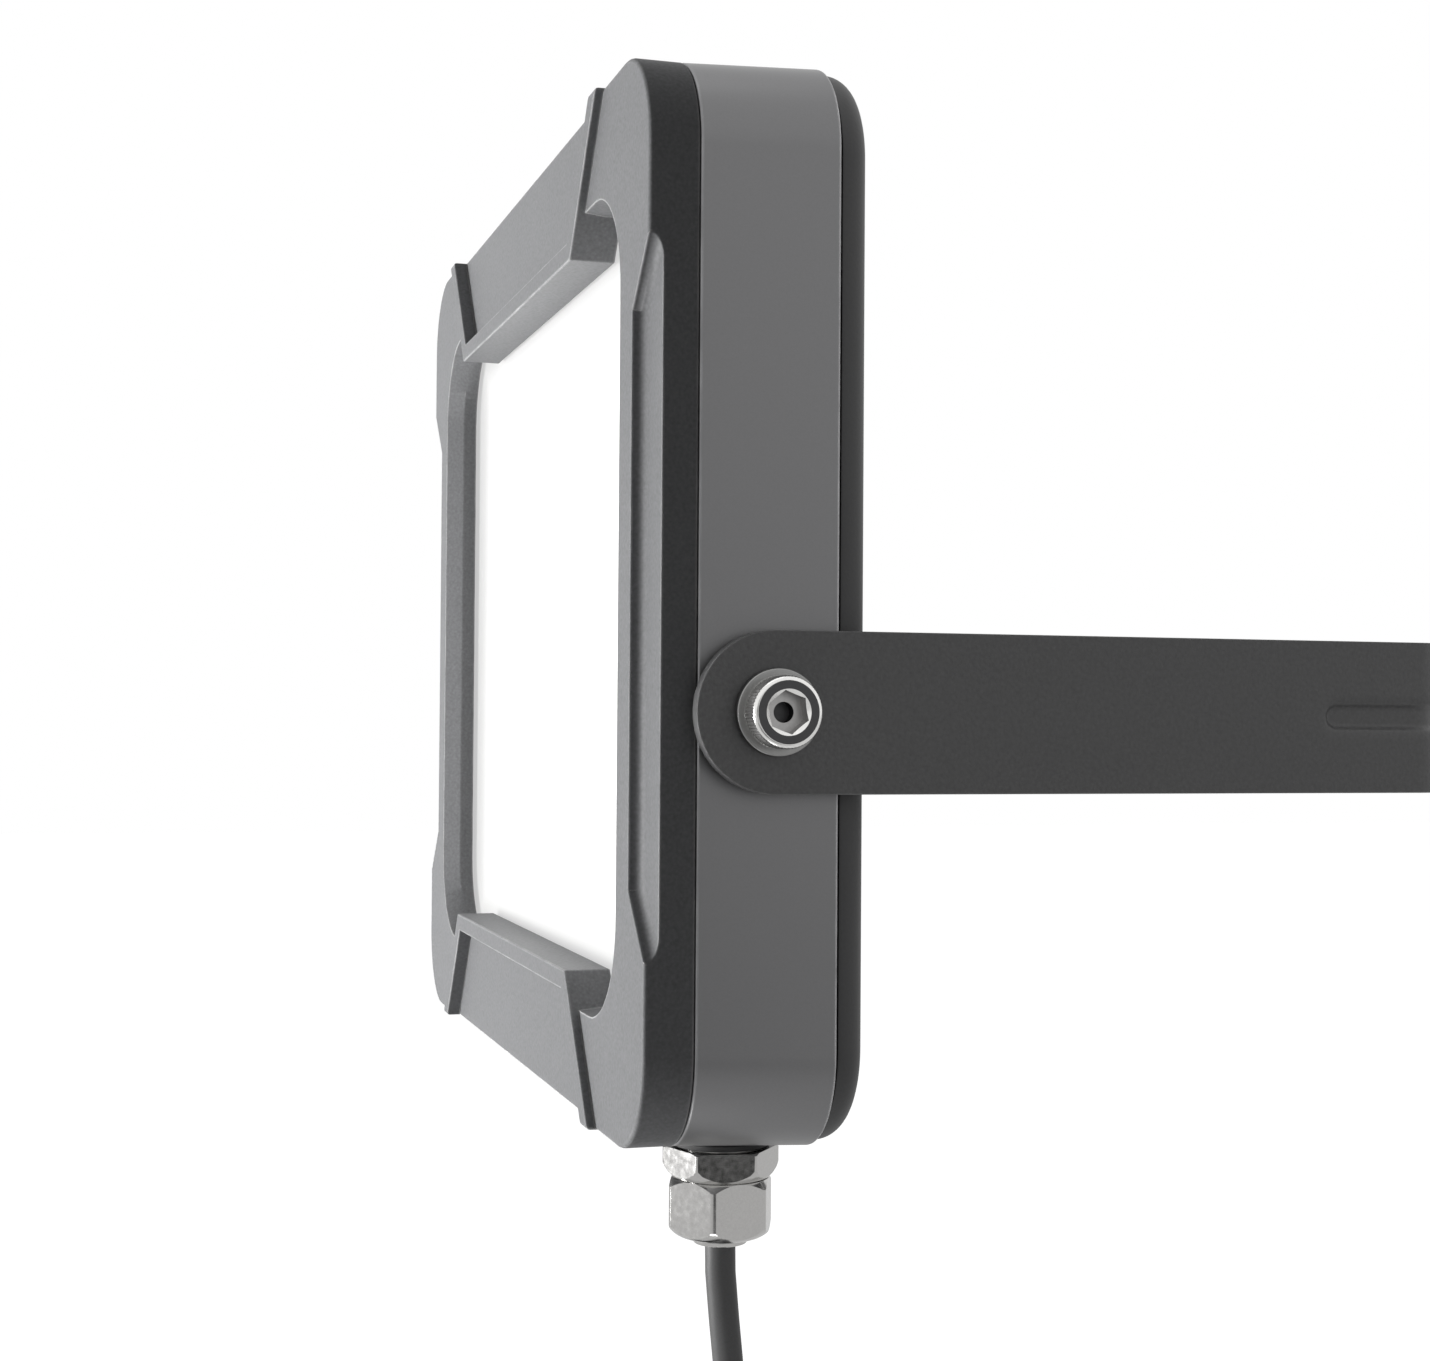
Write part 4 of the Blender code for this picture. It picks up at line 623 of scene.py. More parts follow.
for label, colour, slot_name, aside, over in CORES:
    begin = coil_end + Vector((-0.0003, aside, over))
    finish_point = begin + Vector((-CORE_LONG, 0, 0)) + Vector((0, aside, over)).normalized() * CORE_FAN
    step = Vector((0.002, 0, 0))
    core_route = [begin, begin - step, (begin + finish_point) / 2, finish_point + step, finish_point]
    core = wire(f"cord_core_{label}", smooth_through(core_route, 24), CORE_RADIUS, colour, 5)
    declare(core, "head", [f"core_end_{label}"])
    spot = (0, finish_point.y + TILT_AXIS_Y, finish_point.z)
    collar_end = finish_point.x - 0.0003
    collar_start = collar_end - COLLAR_LONG
    narrow, wide = COLLAR_RADIUS * COLLAR_TAPER, COLLAR_RADIUS
    ferrule = rod(f"crimped_ferrule_{label}", narrow, collar_start, collar_end, 0, spot, 32, wide)
    pin = rod("pin", PIN_RADIUS, collar_start - PIN_LONG, collar_start + COLLAR_LONG / 2, 0, spot, 20)
    pick(pin, "FACE", lambda face: face.normal.x < -0.9)
    bpy.ops.mesh.bevel(offset=0.0002, segments=2, affect="EDGES")
    weld(ferrule, pin)
    round_rims(ferrule, lambda edge: in_plane(edge, 0, collar_end), 0.0003, 3)
    finish_piece(ferrule, FERRULE_NYLON, "head", [f"ferrule_{label}"])
    ferrule.data.materials.append(FERRULE_TIN)
    for face in ferrule.data.polygons:
        face.material_index = 1 if face.center.x < collar_start - 0.00005 else 0
    cord_fittings += [core, ferrule]

# Front bezel: one die-cast aluminium frame round the window, with a shallow recess down each
# side and two raised flaps with pockets open at the outer edge. Anthracite textured coat.
HALF_WIDTH = 0.1231
HEAD_TOP = 0.1240
HEAD_BOTTOM = -0.0822
HEAD_MIDDLE = (HEAD_TOP + HEAD_BOTTOM) / 2
HEAD_CORNER = 0.0195
FACE_Y = TILT_AXIS_Y - 0.0233
BEZEL_BACK_Y = TILT_AXIS_Y - 0.0136
WINDOW_HALF = 0.1019
WINDOW_TOP = 0.1026
WINDOW_BOTTOM = -0.0608
WINDOW_CORNER = 0.0216
REVEAL_DRAFT = 0.0028
REVEAL_DRAFT_TALL = 0.0004
REVEAL_DRAFT_DEEP = 0.0043
FLAP_OUTER_HALF = 0.0874
FLAP_INNER_HALF = 0.0650
FLAP_LONG = 0.030
LOW_FLAP_LONG = 0.0290
FLAP_LEAN = (FLAP_OUTER_HALF - FLAP_INNER_HALF) / FLAP_LONG
FLAP_Y = FACE_Y - 0.0019
POCKET_Y = FLAP_Y + 0.0035
FLAP_SIDE_RIM = 0.0060
FLAP_END_RIM = 0.0042
RECESS_DEEP = 0.0028
RECESS_X = 0.1112
RECESS_HALF_IN = 0.0542
RECESS_HALF_OUT = 0.0665
RECESS_COVE = 0.0031
COVE_SQUASH = 0.8
RABBET_Y = TILT_AXIS_Y - 0.0154
RABBET_IN = 0.011
SEAL_GROOVE = (0.0010, 0.0032, 0.0013)
CASE_SCREWS = [(x, z) for z in (0.1129, -0.0707) for x in (-0.1120, 0.1120)]
CASE_SCREWS += [(0.0, 0.1166), (0.0, -0.0744)]
SCREW_HOLE = 0.0023
PAST = 0.004
OUTER_RIM = 0.0009
INNER_RIM = 0.00035


def head_block(name, front, back, inset=0.0, steps=24):
    """A block with the head's rounded outline, drawn in on every side by inset."""
    half = HALF_WIDTH - inset
    low = (-half, front, HEAD_BOTTOM + inset)
    high = (half, back, HEAD_TOP - inset)
    return block(name, low, high, HEAD_CORNER - inset, steps)


def flap_block(side, front, back, inset=0.0, end_inset=0.0):
    """The flap's trapezium, wide at the outer edge, side +1 at the top and -1 below."""
    edge = HEAD_TOP if side > 0 else HEAD_BOTTOM
    outer_z = edge + side * PAST
    long = (FLAP_LONG if side > 0 else LOW_FLAP_LONG) - end_inset
    inner_z = edge - side * long
    outer_half = FLAP_OUTER_HALF - inset + FLAP_LEAN * PAST
    inner_half = FLAP_OUTER_HALF - inset - FLAP_LEAN * long
    obj = block(
        "flap", (-outer_half, front, min(outer_z, inner_z)), (outer_half, back, max(outer_z, inner_z))
    )
    narrowed = (inner_half / outer_half, 1, 1)
    scale_corners(obj, lambda corner: abs(corner.co.z - inner_z) < 0.0001, narrowed, (0, 0, inner_z))
    return obj


front_bezel = head_block("front_bezel_casting", FLAP_Y, BEZEL_BACK_Y)
skim = block(
    "skim",
    (-HALF_WIDTH - PAST, FLAP_Y - PAST, HEAD_BOTTOM - PAST / 2),
    (HALF_WIDTH + PAST, FACE_Y, HEAD_TOP + PAST / 2),
)
for side in (1, -1):
    carve(skim, flap_block(side, FLAP_Y - 2 * PAST, FACE_Y + PAST))
carve(front_bezel, skim)
draft_end = FACE_Y + REVEAL_DRAFT_DEEP
window_low = (-WINDOW_HALF + REVEAL_DRAFT, draft_end, WINDOW_BOTTOM + REVEAL_DRAFT_TALL)
window_high = (WINDOW_HALF - REVEAL_DRAFT, BEZEL_BACK_Y + PAST, WINDOW_TOP - REVEAL_DRAFT_TALL)
window_tool = block("window", window_low, window_high, WINDOW_CORNER - REVEAL_DRAFT_TALL, 24)
window_middle = (WINDOW_TOP + WINDOW_BOTTOM) / 2
window_half_z = (WINDOW_TOP - WINDOW_BOTTOM) / 2
pick(window_tool, "FACE", lambda face: in_plane(face, 1, draft_end))
bpy.ops.mesh.extrude_region_move(TRANSFORM_OT_translate={"value": (0, -REVEAL_DRAFT_DEEP, 0)})
bpy.ops.transform.resize(
    value=(
        WINDOW_HALF / (WINDOW_HALF - REVEAL_DRAFT),
        1,
        window_half_z / (window_half_z - REVEAL_DRAFT_TALL),
    ),
    center_override=(0, FACE_Y, window_middle),
)
bpy.ops.mesh.extrude_region_move(TRANSFORM_OT_translate={"value": (0, -2 * PAST, 0)})
leave_editing()
for side in (1, -1):
    carve(window_tool, flap_block(side, FLAP_Y - 2 * PAST, RABBET_Y + 0.0005))
carve(front_bezel, window_tool)
carve(front_bezel, head_block("rabbet", RABBET_Y, BEZEL_BACK_Y + PAST, RABBET_IN))
groove = head_block("groove", BEZEL_BACK_Y - SEAL_GROOVE[2], BEZEL_BACK_Y + PAST, SEAL_GROOVE[0])
carve(groove, head_block("land", BEZEL_BACK_Y - PAST, BEZEL_BACK_Y + 2 * PAST, SEAL_GROOVE[1]))
carve(front_bezel, groove)
for side in (1, -1):
    carve(front_bezel, flap_block(side, FLAP_Y - PAST, POCKET_Y, FLAP_SIDE_RIM, FLAP_END_RIM))
    far_x = side * (HALF_WIDTH + PAST)
    near_x = side * RECESS_X
    widen = (RECESS_HALF_OUT - RECESS_HALF_IN) / (HALF_WIDTH - RECESS_X)
    far_half = RECESS_HALF_IN + widen * abs(far_x - near_x)
    recess = block(
        "recess",
        (min(near_x, far_x), FACE_Y - PAST, HEAD_MIDDLE - RECESS_HALF_IN),
        (max(near_x, far_x), FACE_Y + RECESS_DEEP / COVE_SQUASH, HEAD_MIDDLE + RECESS_HALF_IN),
    )
    widened = (1, 1, far_half / RECESS_HALF_IN)
    far_middle = (far_x, 0, HEAD_MIDDLE)
    scale_corners(recess, lambda corner: abs(corner.co.x - far_x) < 0.0001, widened, far_middle)
    round_rims(
        recess,
        lambda edge: in_plane(edge, 1, FACE_Y + RECESS_DEEP / COVE_SQUASH) and not in_plane(edge, 0, far_x),
        RECESS_COVE,
        12,
    )
    scale_corners(recess, lambda corner: True, (1, COVE_SQUASH, 1), (0, FACE_Y, 0))
    carve(front_bezel, recess)
for x, z in CASE_SCREWS:
    carve(front_bezel, rod("hole", SCREW_HOLE, FACE_Y + 0.0026, BEZEL_BACK_Y + PAST, 1, (x, 0, z), 24))


def on_head_outline(corner):
    """Whether a corner of the mesh lies on the head's outer outline."""
    x = abs(corner.co.x) - (HALF_WIDTH - HEAD_CORNER)
    z = abs(corner.co.z - HEAD_MIDDLE) - ((HEAD_TOP - HEAD_BOTTOM) / 2 - HEAD_CORNER)
    if x > 0 and z > 0:
        return abs(math.hypot(x, z) - HEAD_CORNER) < 0.00005
    return abs(max(x, z) - HEAD_CORNER) < 0.00005


SHARP = math.radians(32)


def on_window_edge(edge):
    """Whether an edge is part of the window's front outline, which the casting leaves sharp."""
    return in_plane(edge, 1, FACE_Y) and all(
        abs(corner.co.x) < WINDOW_HALF + 0.0001 and WINDOW_BOTTOM - 0.0001 < corner.co.z < WINDOW_TOP + 0.0001
        for corner in edge.verts
    )


def is_sharp(edge):
    if len(edge.link_faces) != 2 or not edge.is_convex or on_window_edge(edge):
        return False
    if in_plane(edge, 1, BEZEL_BACK_Y) and not all(on_head_outline(corner) for corner in edge.verts):
        return False
    return edge.calc_face_angle() > SHARP


pick(front_bezel, "EDGE", is_sharp)
bpy.ops.transform.edge_bevelweight(value=INNER_RIM / OUTER_RIM)
pick(
    front_bezel,
    "EDGE",
    lambda edge: is_sharp(edge)
    and all(on_head_outline(corner) and corner.co.y < FACE_Y + 0.00005 for corner in edge.verts),
)
bpy.ops.transform.edge_bevelweight(value=1.0)
modify(
    front_bezel,
    "BEVEL",
    width=OUTER_RIM,
    segments=3,
    limit_method="WEIGHT",
    use_clamp_overlap=False,
    miter_outer="MITER_SHARP",
)
# The anthracite coat's outer edges get a pale grey painted highlight.
CAST_PAINT = grained(
    "anthracite_cast_paint", (0.180, 0.182, 0.187), 0.52, 1500.0, 0.5, 0.08, 0.1, 0.4, 0.00006,
    specular=0.14, edge_highlight=(0.66, 0.66, 0.66), edge_highlight_strength=1.3,
)
finish_piece(front_bezel, CAST_PAINT, "head", ["front_bezel"], 30)

# Opal diffuser: a flat moulded opal sheet, lit from behind all over, with painted shade in its colour
# and glow towards the edge, where the casting's rebate would shade it. It is the light's own window.
OPAL_SHEET = grained("opal_sheet", (0.90, 0.90, 0.88), 0.35, 900.0, 0.03, 0.04, 0.08, 0.05)
OPAL_GLOW = 3.0
OPAL_TALL = 1.6
OPAL_FULL = 0.105
OPAL_PAINTED_SHADE_LEVEL = 0.18
opal_tree = OPAL_SHEET.node_tree
opal_shader = opal_tree.nodes["Principled BSDF"].inputs
opal_place = opal_tree.nodes.new("ShaderNodeTexCoord").outputs["Object"]
opal_centre = opal_tree.nodes.new("ShaderNodeMapping")
opal_centre.inputs["Location"].default_value = (0, 0, -window_middle)
join(opal_tree, opal_centre.inputs["Vector"], opal_place)
opal_axes = opal_tree.nodes.new("ShaderNodeSeparateXYZ")
join(opal_tree, opal_axes.inputs[0], opal_centre.outputs[0])
opal_from_edge = []
for axis, half in (("X", WINDOW_HALF), ("Z", window_half_z)):
    from_middle = sum_node(opal_tree, "ABSOLUTE", opal_axes.outputs[axis])
    opal_from_edge.append(sum_node(opal_tree, "SUBTRACT", half, from_middle))
opal_tall = sum_node(opal_tree, "MULTIPLY", opal_from_edge[1], OPAL_TALL)
opal_edge = sum_node(opal_tree, "MINIMUM", opal_from_edge[0], opal_tall)
# The sheet's colour and glow darken towards its edge as painted shade.
opal_edge_painted_shade = smooth_ramp(opal_tree, opal_edge, REVEAL_DRAFT, OPAL_FULL, OPAL_PAINTED_SHADE_LEVEL, 1.0)
opal_glow = opal_tree.nodes.new("ShaderNodeCombineColor")
for socket in opal_glow.inputs:
    join(opal_tree, socket, opal_edge_painted_shade)
opal_white = opal_shader["Base Color"].links[0].from_socket
opal_painted_shade_colour = vector_node(opal_tree, "SCALE", opal_white, opal_edge_painted_shade)
join(opal_tree, opal_shader["Base Color"], opal_painted_shade_colour)
join(opal_tree, opal_shader["Emission Color"], opal_glow.outputs[0])
opal_shader["Emission Strength"].default_value = OPAL_GLOW


def paint_nodes(material, *names):
    """Gives carried-over CAD nodes their finish."""
    for name in names:
        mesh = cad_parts[name].data
        mesh.materials.clear()
        mesh.materials.append(material)


paint_nodes(OPAL_SHEET, "diffuser_lens")
SEAL_RUBBER = grained("seal_rubber", (0.06, 0.06, 0.06), 0.75, 1200.0, 0.25, 0.15, 0.1, 0.25)
paint_nodes(SEAL_RUBBER, "bezel_gasket", "lens_gasket", "rear_cover_gasket", "gland_seal")

# Housing ring: a deep extruded aluminium frame, machined at both ends and anodised a satin
# grey. It carries the screw lugs, the two pivot bosses, four pads and the hole for the gland.
RING_FRONT_Y = TILT_AXIS_Y - 0.0135
RING_BACK_Y = TILT_AXIS_Y + 0.0136
RING_WALL = 0.004
RING_FLARE = 0.001
LUG_RADIUS = 0.0045
INSERT_RADIUS = 0.0058
PAD_X = 0.068
PIVOT_BORE = 0.0043
GLAND_HOLE = 0.0083
housing = head_block("housing_frame", RING_FRONT_Y, RING_BACK_Y)
half_height = (HEAD_TOP - HEAD_BOTTOM) / 2
flare = (1 + RING_FLARE / HALF_WIDTH, 1, 1 + RING_FLARE / half_height)
back_middle = (0, RING_BACK_Y, HEAD_MIDDLE)
scale_corners(housing, lambda corner: corner.co.y > TILT_AXIS_Y, flare, back_middle)
round_rims(housing, lambda edge: in_plane(edge, 1, RING_BACK_Y), 0.0005, 3)
round_rims(housing, lambda edge: in_plane(edge, 1, RING_FRONT_Y), 0.0005, 3)
carve(housing, head_block("inside", RING_FRONT_Y - PAST, RING_BACK_Y + PAST, RING_WALL))
for x, z in CASE_SCREWS:
    lug = rod("lug", LUG_RADIUS, RING_FRONT_Y + 0.0003, RING_BACK_Y - 0.0003, 1, (x, 0, z), 32)
    weld(housing, lug)
for side in (1, -1):
    ends = sorted((side * 0.1105, side * (HALF_WIDTH - RING_WALL / 2)))
    boss = block(
        "boss", (ends[0], TILT_AXIS_Y - 0.009, -0.011), (ends[1], TILT_AXIS_Y + 0.009, 0.011), 0.002, 4, 0
    )
    weld(housing, boss)
    ends = sorted((side * 0.1085, side * (HALF_WIDTH - 0.0003)))
    carve(housing, rod("insert_seat", INSERT_RADIUS, *ends, 0, (0, TILT_AXIS_Y, 0), 48))
    ends = sorted((side * 0.120, side * 0.127))
    carve(housing, rod("screw_way", PIVOT_BORE, *ends, 0, (0, TILT_AXIS_Y, 0), 48))
    for x in (-PAD_X, PAD_X):
        z = WINDOW_TOP - 0.007 if side > 0 else WINDOW_BOTTOM + 0.007
        wall_z = HEAD_TOP - RING_WALL / 2 if side > 0 else HEAD_BOTTOM + RING_WALL / 2
        tip_z = z - side * 0.0045
        pad_low = (x - 0.005, TILT_AXIS_Y + 0.003, min(tip_z, wall_z))
        pad_high = (x + 0.005, TILT_AXIS_Y + 0.009, max(tip_z, wall_z))
        weld(housing, block("pad", pad_low, pad_high))
        carve(housing, rod("pad_hole", SCREW_HOLE, -0.145, -0.130, 1, (x, 0, z), 24))
for x, z in CASE_SCREWS:
    carve(housing, rod("hole", SCREW_HOLE, RING_FRONT_Y - PAST, RING_BACK_Y + PAST, 1, (x, 0, z), 24))
carve(housing, rod("gland_hole", GLAND_HOLE, -0.09, -0.07, 2, (GLAND_X, TILT_AXIS_Y, 0), 64))
# The satin grey's outer edges get a lighter painted highlight.
SATIN_GREY = grained(
    "satin_grey_anodised", (0.22, 0.22, 0.224), 0.38, 2600.0, 0.08, 0.08, 0.10, 0.12, 0.00002,
    metallic=0.75, edge_highlight=(0.80, 0.80, 0.81), edge_highlight_strength=1.8,
)
finish_piece(housing, SATIN_GREY, "head", ["housing_ring"], 30)

# Rear cover: a shallow aluminium pan, powder-coated black, with a deeply rounded back edge.
# Six sunk cap screws hold it. A thin rubber seal shows as a dark slit in front of it.
COVER_FRONT_Y = TILT_AXIS_Y + 0.0140
COVER_BACK_Y = TILT_AXIS_Y + 0.0200
COVER_GROW = 0.0002
COVER_SHEET = 0.0025
COVER_LUG_RADIUS = 0.0055
SCREW_SEAT_RADIUS = 0.0038
cover = head_block("rear_cover_pan", COVER_FRONT_Y, COVER_BACK_Y, -COVER_GROW)
round_rims(cover, lambda edge: in_plane(edge, 1, COVER_BACK_Y), 0.0050, 12)
round_rims(cover, lambda edge: in_plane(edge, 1, COVER_FRONT_Y), 0.0003, 2)
carve(cover, head_block("inside", COVER_FRONT_Y - PAST, COVER_BACK_Y - COVER_SHEET, RING_WALL))
lug_back = COVER_BACK_Y - COVER_SHEET / 2
for x, z in CASE_SCREWS:
    lug = rod("lug", COVER_LUG_RADIUS, COVER_FRONT_Y + 0.0003, lug_back, 1, (x, 0, z), 32)
    weld(cover, lug)
for x, z in CASE_SCREWS:
    carve(
        cover,
        rod("hole", SCREW_HOLE, COVER_FRONT_Y - PAST, COVER_BACK_Y + PAST, 1, (x, 0, z), 24),
        rod("seat", SCREW_SEAT_RADIUS, TILT_AXIS_Y + 0.0166, COVER_BACK_Y + PAST, 1, (x, 0, z), 48),
    )
soften(cover, 0.0002, 2, 60)
BLACK_COVER = grained(
    "black_textured_cover", (0.018, 0.018, 0.019), 0.5, 1500.0, 0.5, 0.15, 0.1, 0.4, 0.00006,
    specular=0.68,
)
finish_piece(cover, BLACK_COVER, "head", ["rear_cover"], 30)


# Case screws: stainless M4 cap screws with a hexagon socket, driven through the cover and the
# housing's lugs into the casting. One is turned and the others are copies of it.
def build_turned_lines():
    """Fine rings left by a lathe about the X axis of the vector: height and roughness."""
    group, start, end = new_group(
        "turned_lines",
        [
            ("Vector", "vector", (0, 0, 0)),
            ("Rings per metre", "float", 3000.0),
            ("Roughness", "float", 0.3),
        ],
        [("Height", "float"), ("Roughness", "float")],
    )
    axes = group.nodes.new("ShaderNodeSeparateXYZ")
    join(group, axes.inputs[0], start.outputs["Vector"])
    square_y = sum_node(group, "MULTIPLY", axes.outputs["Y"], axes.outputs["Y"])
    square_z = sum_node(group, "MULTIPLY", axes.outputs["Z"], axes.outputs["Z"])
    radius = sum_node(group, "SQRT", sum_node(group, "ADD", square_y, square_z))
    both = sum_node(group, "ADD", radius, axes.outputs["X"])
    phase = sum_node(group, "MULTIPLY", both, start.outputs["Rings per metre"])
    wave = sum_node(group, "SINE", sum_node(group, "MULTIPLY", phase, 6.2832))
    marks = noise_node(group, start.outputs["Vector"], 900.0, 4.0)
    height = sum_node(group, "MULTIPLY_ADD", wave, 0.5, marks)
    spread = sum_node(group, "MULTIPLY_ADD", marks, 0.16, -0.08)
    rough = sum_node(group, "ADD", spread, start.outputs["Roughness"])
    join(group, end.inputs["Height"], height)
    join(group, end.inputs["Roughness"], rough)
    return group


TURNED_LINES = build_turned_lines()


def turned_metal(name, colour, roughness, middle, axis_turn=(0, 0, 0), rings=3000.0, bump=0.1):
    """A turned metal whose lathe marks run round the X axis through middle, once turned."""
    material = grained(name, colour, roughness, 2200.0, 0.12, 0.12, 0.1, metallic=1.0)
    tree = material.node_tree
    place = tree.nodes.new("ShaderNodeTexCoord").outputs["Object"]
    centre = tree.nodes.new("ShaderNodeMapping")
    centre.vector_type = "TEXTURE"
    for label, value in (("Location", middle), ("Rotation", axis_turn), ("Vector", place)):
        join(tree, centre.inputs[label], value)
    settings = {"Vector": centre.outputs[0], "Rings per metre": rings, "Roughness": roughness}
    lines = group_node(tree, TURNED_LINES, settings)
    bump_node = next(node for node in tree.nodes if node.bl_idname == "ShaderNodeBump")
    for label, value in (("Strength", bump), ("Distance", 0.00002), ("Height", lines["Height"])):
        join(tree, bump_node.inputs[label], value)
    join(tree, tree.nodes["Principled BSDF"].inputs["Roughness"], lines["Roughness"])
    return material


ON_X = (0, 0, 0)
ON_Y = (0, 0, math.pi / 2)
ON_Z = (0, math.pi / 2, 0)
STEEL_COLOUR = (0.56, 0.555, 0.545)
CAP_TOP_Y = TILT_AXIS_Y + 0.0192
first_x, first_z = CASE_SCREWS[0]
spot = (first_x, 0, first_z)
case_screw = rod("cap_screw_1", 0.0035, TILT_AXIS_Y + 0.0169, CAP_TOP_Y, 1, spot, 64)
round_rims(case_screw, lambda edge: in_plane(edge, 1, CAP_TOP_Y), 0.0003, 2)
shank = rod("shank", 0.0020, TILT_AXIS_Y - 0.0199, TILT_AXIS_Y + 0.0180, 1, spot, 32)
weld(case_screw, shank)
socket = rod("socket", 0.0025 / math.sqrt(3), TILT_AXIS_Y + 0.01745, TILT_AXIS_Y + 0.021, 1, spot, 6)
carve(case_screw, socket)
case_mesh = case_screw.data.copy()
for number, (x, z) in enumerate(CASE_SCREWS, 1):
    if number > 1:
        case_screw = add_object(f"cap_screw_{number}", case_mesh.copy())
        case_screw.data.transform(Matrix.Translation((x - first_x, 0, z - first_z)))
    steel = turned_metal(f"case_screw_steel_{number}", STEEL_COLOUR, 0.3, (x, TILT_AXIS_Y, z), ON_Y)
    node = {(-1, 1): 1, (0, 1): 2, (1, 1): 3, (-1, -1): 4, (0, -1): 5, (1, -1): 6}[
        (round(x / 0.112), 1 if z > 0 else -1)
    ]
    finish_piece(case_screw, steel, "head", [f"case_screw_{node}"])

# Wall bracket: a flat steel strap bent into a U, with rounded arm ends and a bead pressed
# round each bend to stiffen it. Black textured powder coat. Two slots take the wall screws.
STRAP_HALF = 0.015
STRAP_THICK = 0.003
ARM_X = 0.1284
BEND_RADIUS = 0.0096
BEAD_RUN = 0.0306
BEAD_HALF = 0.00215
BEAD_DEEP = 0.0012
BEAD_RIM = 0.0007
BEAD_HALO = 0.0024
HALO_SHARE = 0.28
BEAD_END = BEAD_HALO + BEAD_HALF + BEAD_RIM
END_STEPS = 18
SLOT_X = 0.062
SLOT_HALF_LONG = 0.008
SLOT_HALF_HIGH = 0.00325
ARM_END_Y = TILT_AXIS_Y - STRAP_HALF
strap = block("u_bracket", (0, -STRAP_THICK, -STRAP_HALF), (0.002, 0, STRAP_HALF))
ROW_COUNT = 30
ROW_REACH = BEAD_HALF + BEAD_HALO
for i in range(ROW_COUNT + 1):
    row = -ROW_REACH + 2 * ROW_REACH * i / ROW_COUNT
    pick(strap, "FACE", lambda face: True)
    bpy.ops.mesh.bisect(plane_co=(0, 0, row), plane_no=(0, 0, 1))


def end_faces(level, axis):
    return lambda face: in_plane(face, axis, level) and abs(face.normal[axis]) > 0.9


def stretch(reach, axis, level):
    """Extrudes the strap's end on to the next station along axis."""
    pick(strap, "FACE", end_faces(level, axis))
    move = [0.0, 0.0, 0.0]
    move[axis] = reach - level
    bpy.ops.mesh.extrude_region_move(TRANSFORM_OT_translate={"value": move})
    return reach


reached = 0.002
bead_start = ARM_X - BEAD_RUN
stations = [bead_start - BEAD_HALO + BEAD_END * i / END_STEPS for i in range(END_STEPS + 1)]
stations.append(ARM_X - BEND_RADIUS)
for station in stations:
    reached = stretch(station, 0, reached)
pick(strap, "FACE", end_faces(reached, 0))
bpy.ops.mesh.spin(
    steps=24,
    angle=math.pi / 2,
    center=(ARM_X - BEND_RADIUS, -BEND_RADIUS, 0),
    axis=(0, 0, 1),
)
leave_editing()
reached = -BEND_RADIUS
stations = [-BEAD_RUN - BEAD_HALO + BEAD_END * i / END_STEPS for i in range(END_STEPS, -1, -1)]
stations.append(ARM_END_Y - 0.004)
for station in stations:
    reached = stretch(station, 1, reached)
leave_editing()

# The bead is pressed in: the strap's skin moves inwards by a rounded trough that fades at
# its ends, outer and inner skin alike.
for vert in strap.data.vertices:
    x, y, z = vert.co
    if x > ARM_X - BEND_RADIUS and y > -BEND_RADIUS:
        inward = Vector((ARM_X - BEND_RADIUS - x, -BEND_RADIUS - y, 0)).normalized()
        run_left = 1.0
    elif y <= -BEND_RADIUS:
        inward = Vector((-1, 0, 0))
        run_left = y + BEAD_RUN
    else:
        inward = Vector((0, -1, 0))
        run_left = x - bead_start
    far = math.hypot(z, max(BEAD_HALF - run_left, 0))
    trough = min(max((BEAD_HALF + BEAD_RIM - far) / (2 * BEAD_RIM), 0), 1)
    halo = min(max((BEAD_HALF + BEAD_HALO - far) / BEAD_HALO, 0), 1)
    share = (1 - HALO_SHARE) * trough * trough * (3 - 2 * trough) + HALO_SHARE * halo * halo
    vert.co += inward * BEAD_DEEP * share
pick(strap, "FACE", lambda face: in_plane(face, 0, 0))
bpy.ops.mesh.delete(type="FACE")
modify(strap, "MIRROR", use_axis=(True, False, False), use_clip=True, merge_threshold=0.00002)
round_end = block("round_end", (-0.14, ARM_END_Y, -STRAP_HALF), (0.14, 0.004, STRAP_HALF))
round_rims(
    round_end, lambda edge: runs_along(edge, 0) and in_plane(edge, 1, ARM_END_Y), STRAP_HALF - 0.00001, 32
)
for vert in round_end.data.vertices:
    if vert.co.y > -0.02:
        vert.co.z *= 1.2
carve(strap, round_end, operation="INTERSECT")
for side in (1, -1):
    ends = sorted((side * 0.122, side * 0.132))
    carve(strap, rod("pivot_hole", PIVOT_BORE, *ends, 0, (0, TILT_AXIS_Y, 0), 64))
    slot_cutter = block(
        "slot",
        (side * SLOT_X - SLOT_HALF_LONG, -0.006, -SLOT_HALF_HIGH),
        (side * SLOT_X + SLOT_HALF_LONG, 0.003, SLOT_HALF_HIGH),
        0.00324,
        12,
    )
    carve(strap, slot_cutter)
soften(strap, 0.0005, 3, 45)
# The black coat's outer edges get a mid grey painted highlight.
STRAP_COAT = grained(
    "black_textured_powder_coat", (0.080, 0.080, 0.081), 0.46, 1300.0, 0.9, 0.12, 0.12, 0.6, 0.00008,
    specular=0.8, edge_highlight=(0.40, 0.40, 0.40), edge_highlight_strength=0.8, edge_highlight_width=0.0005,
)
finish_piece(strap, STRAP_COAT, "bracket", ["mounting_bracket"], 30)

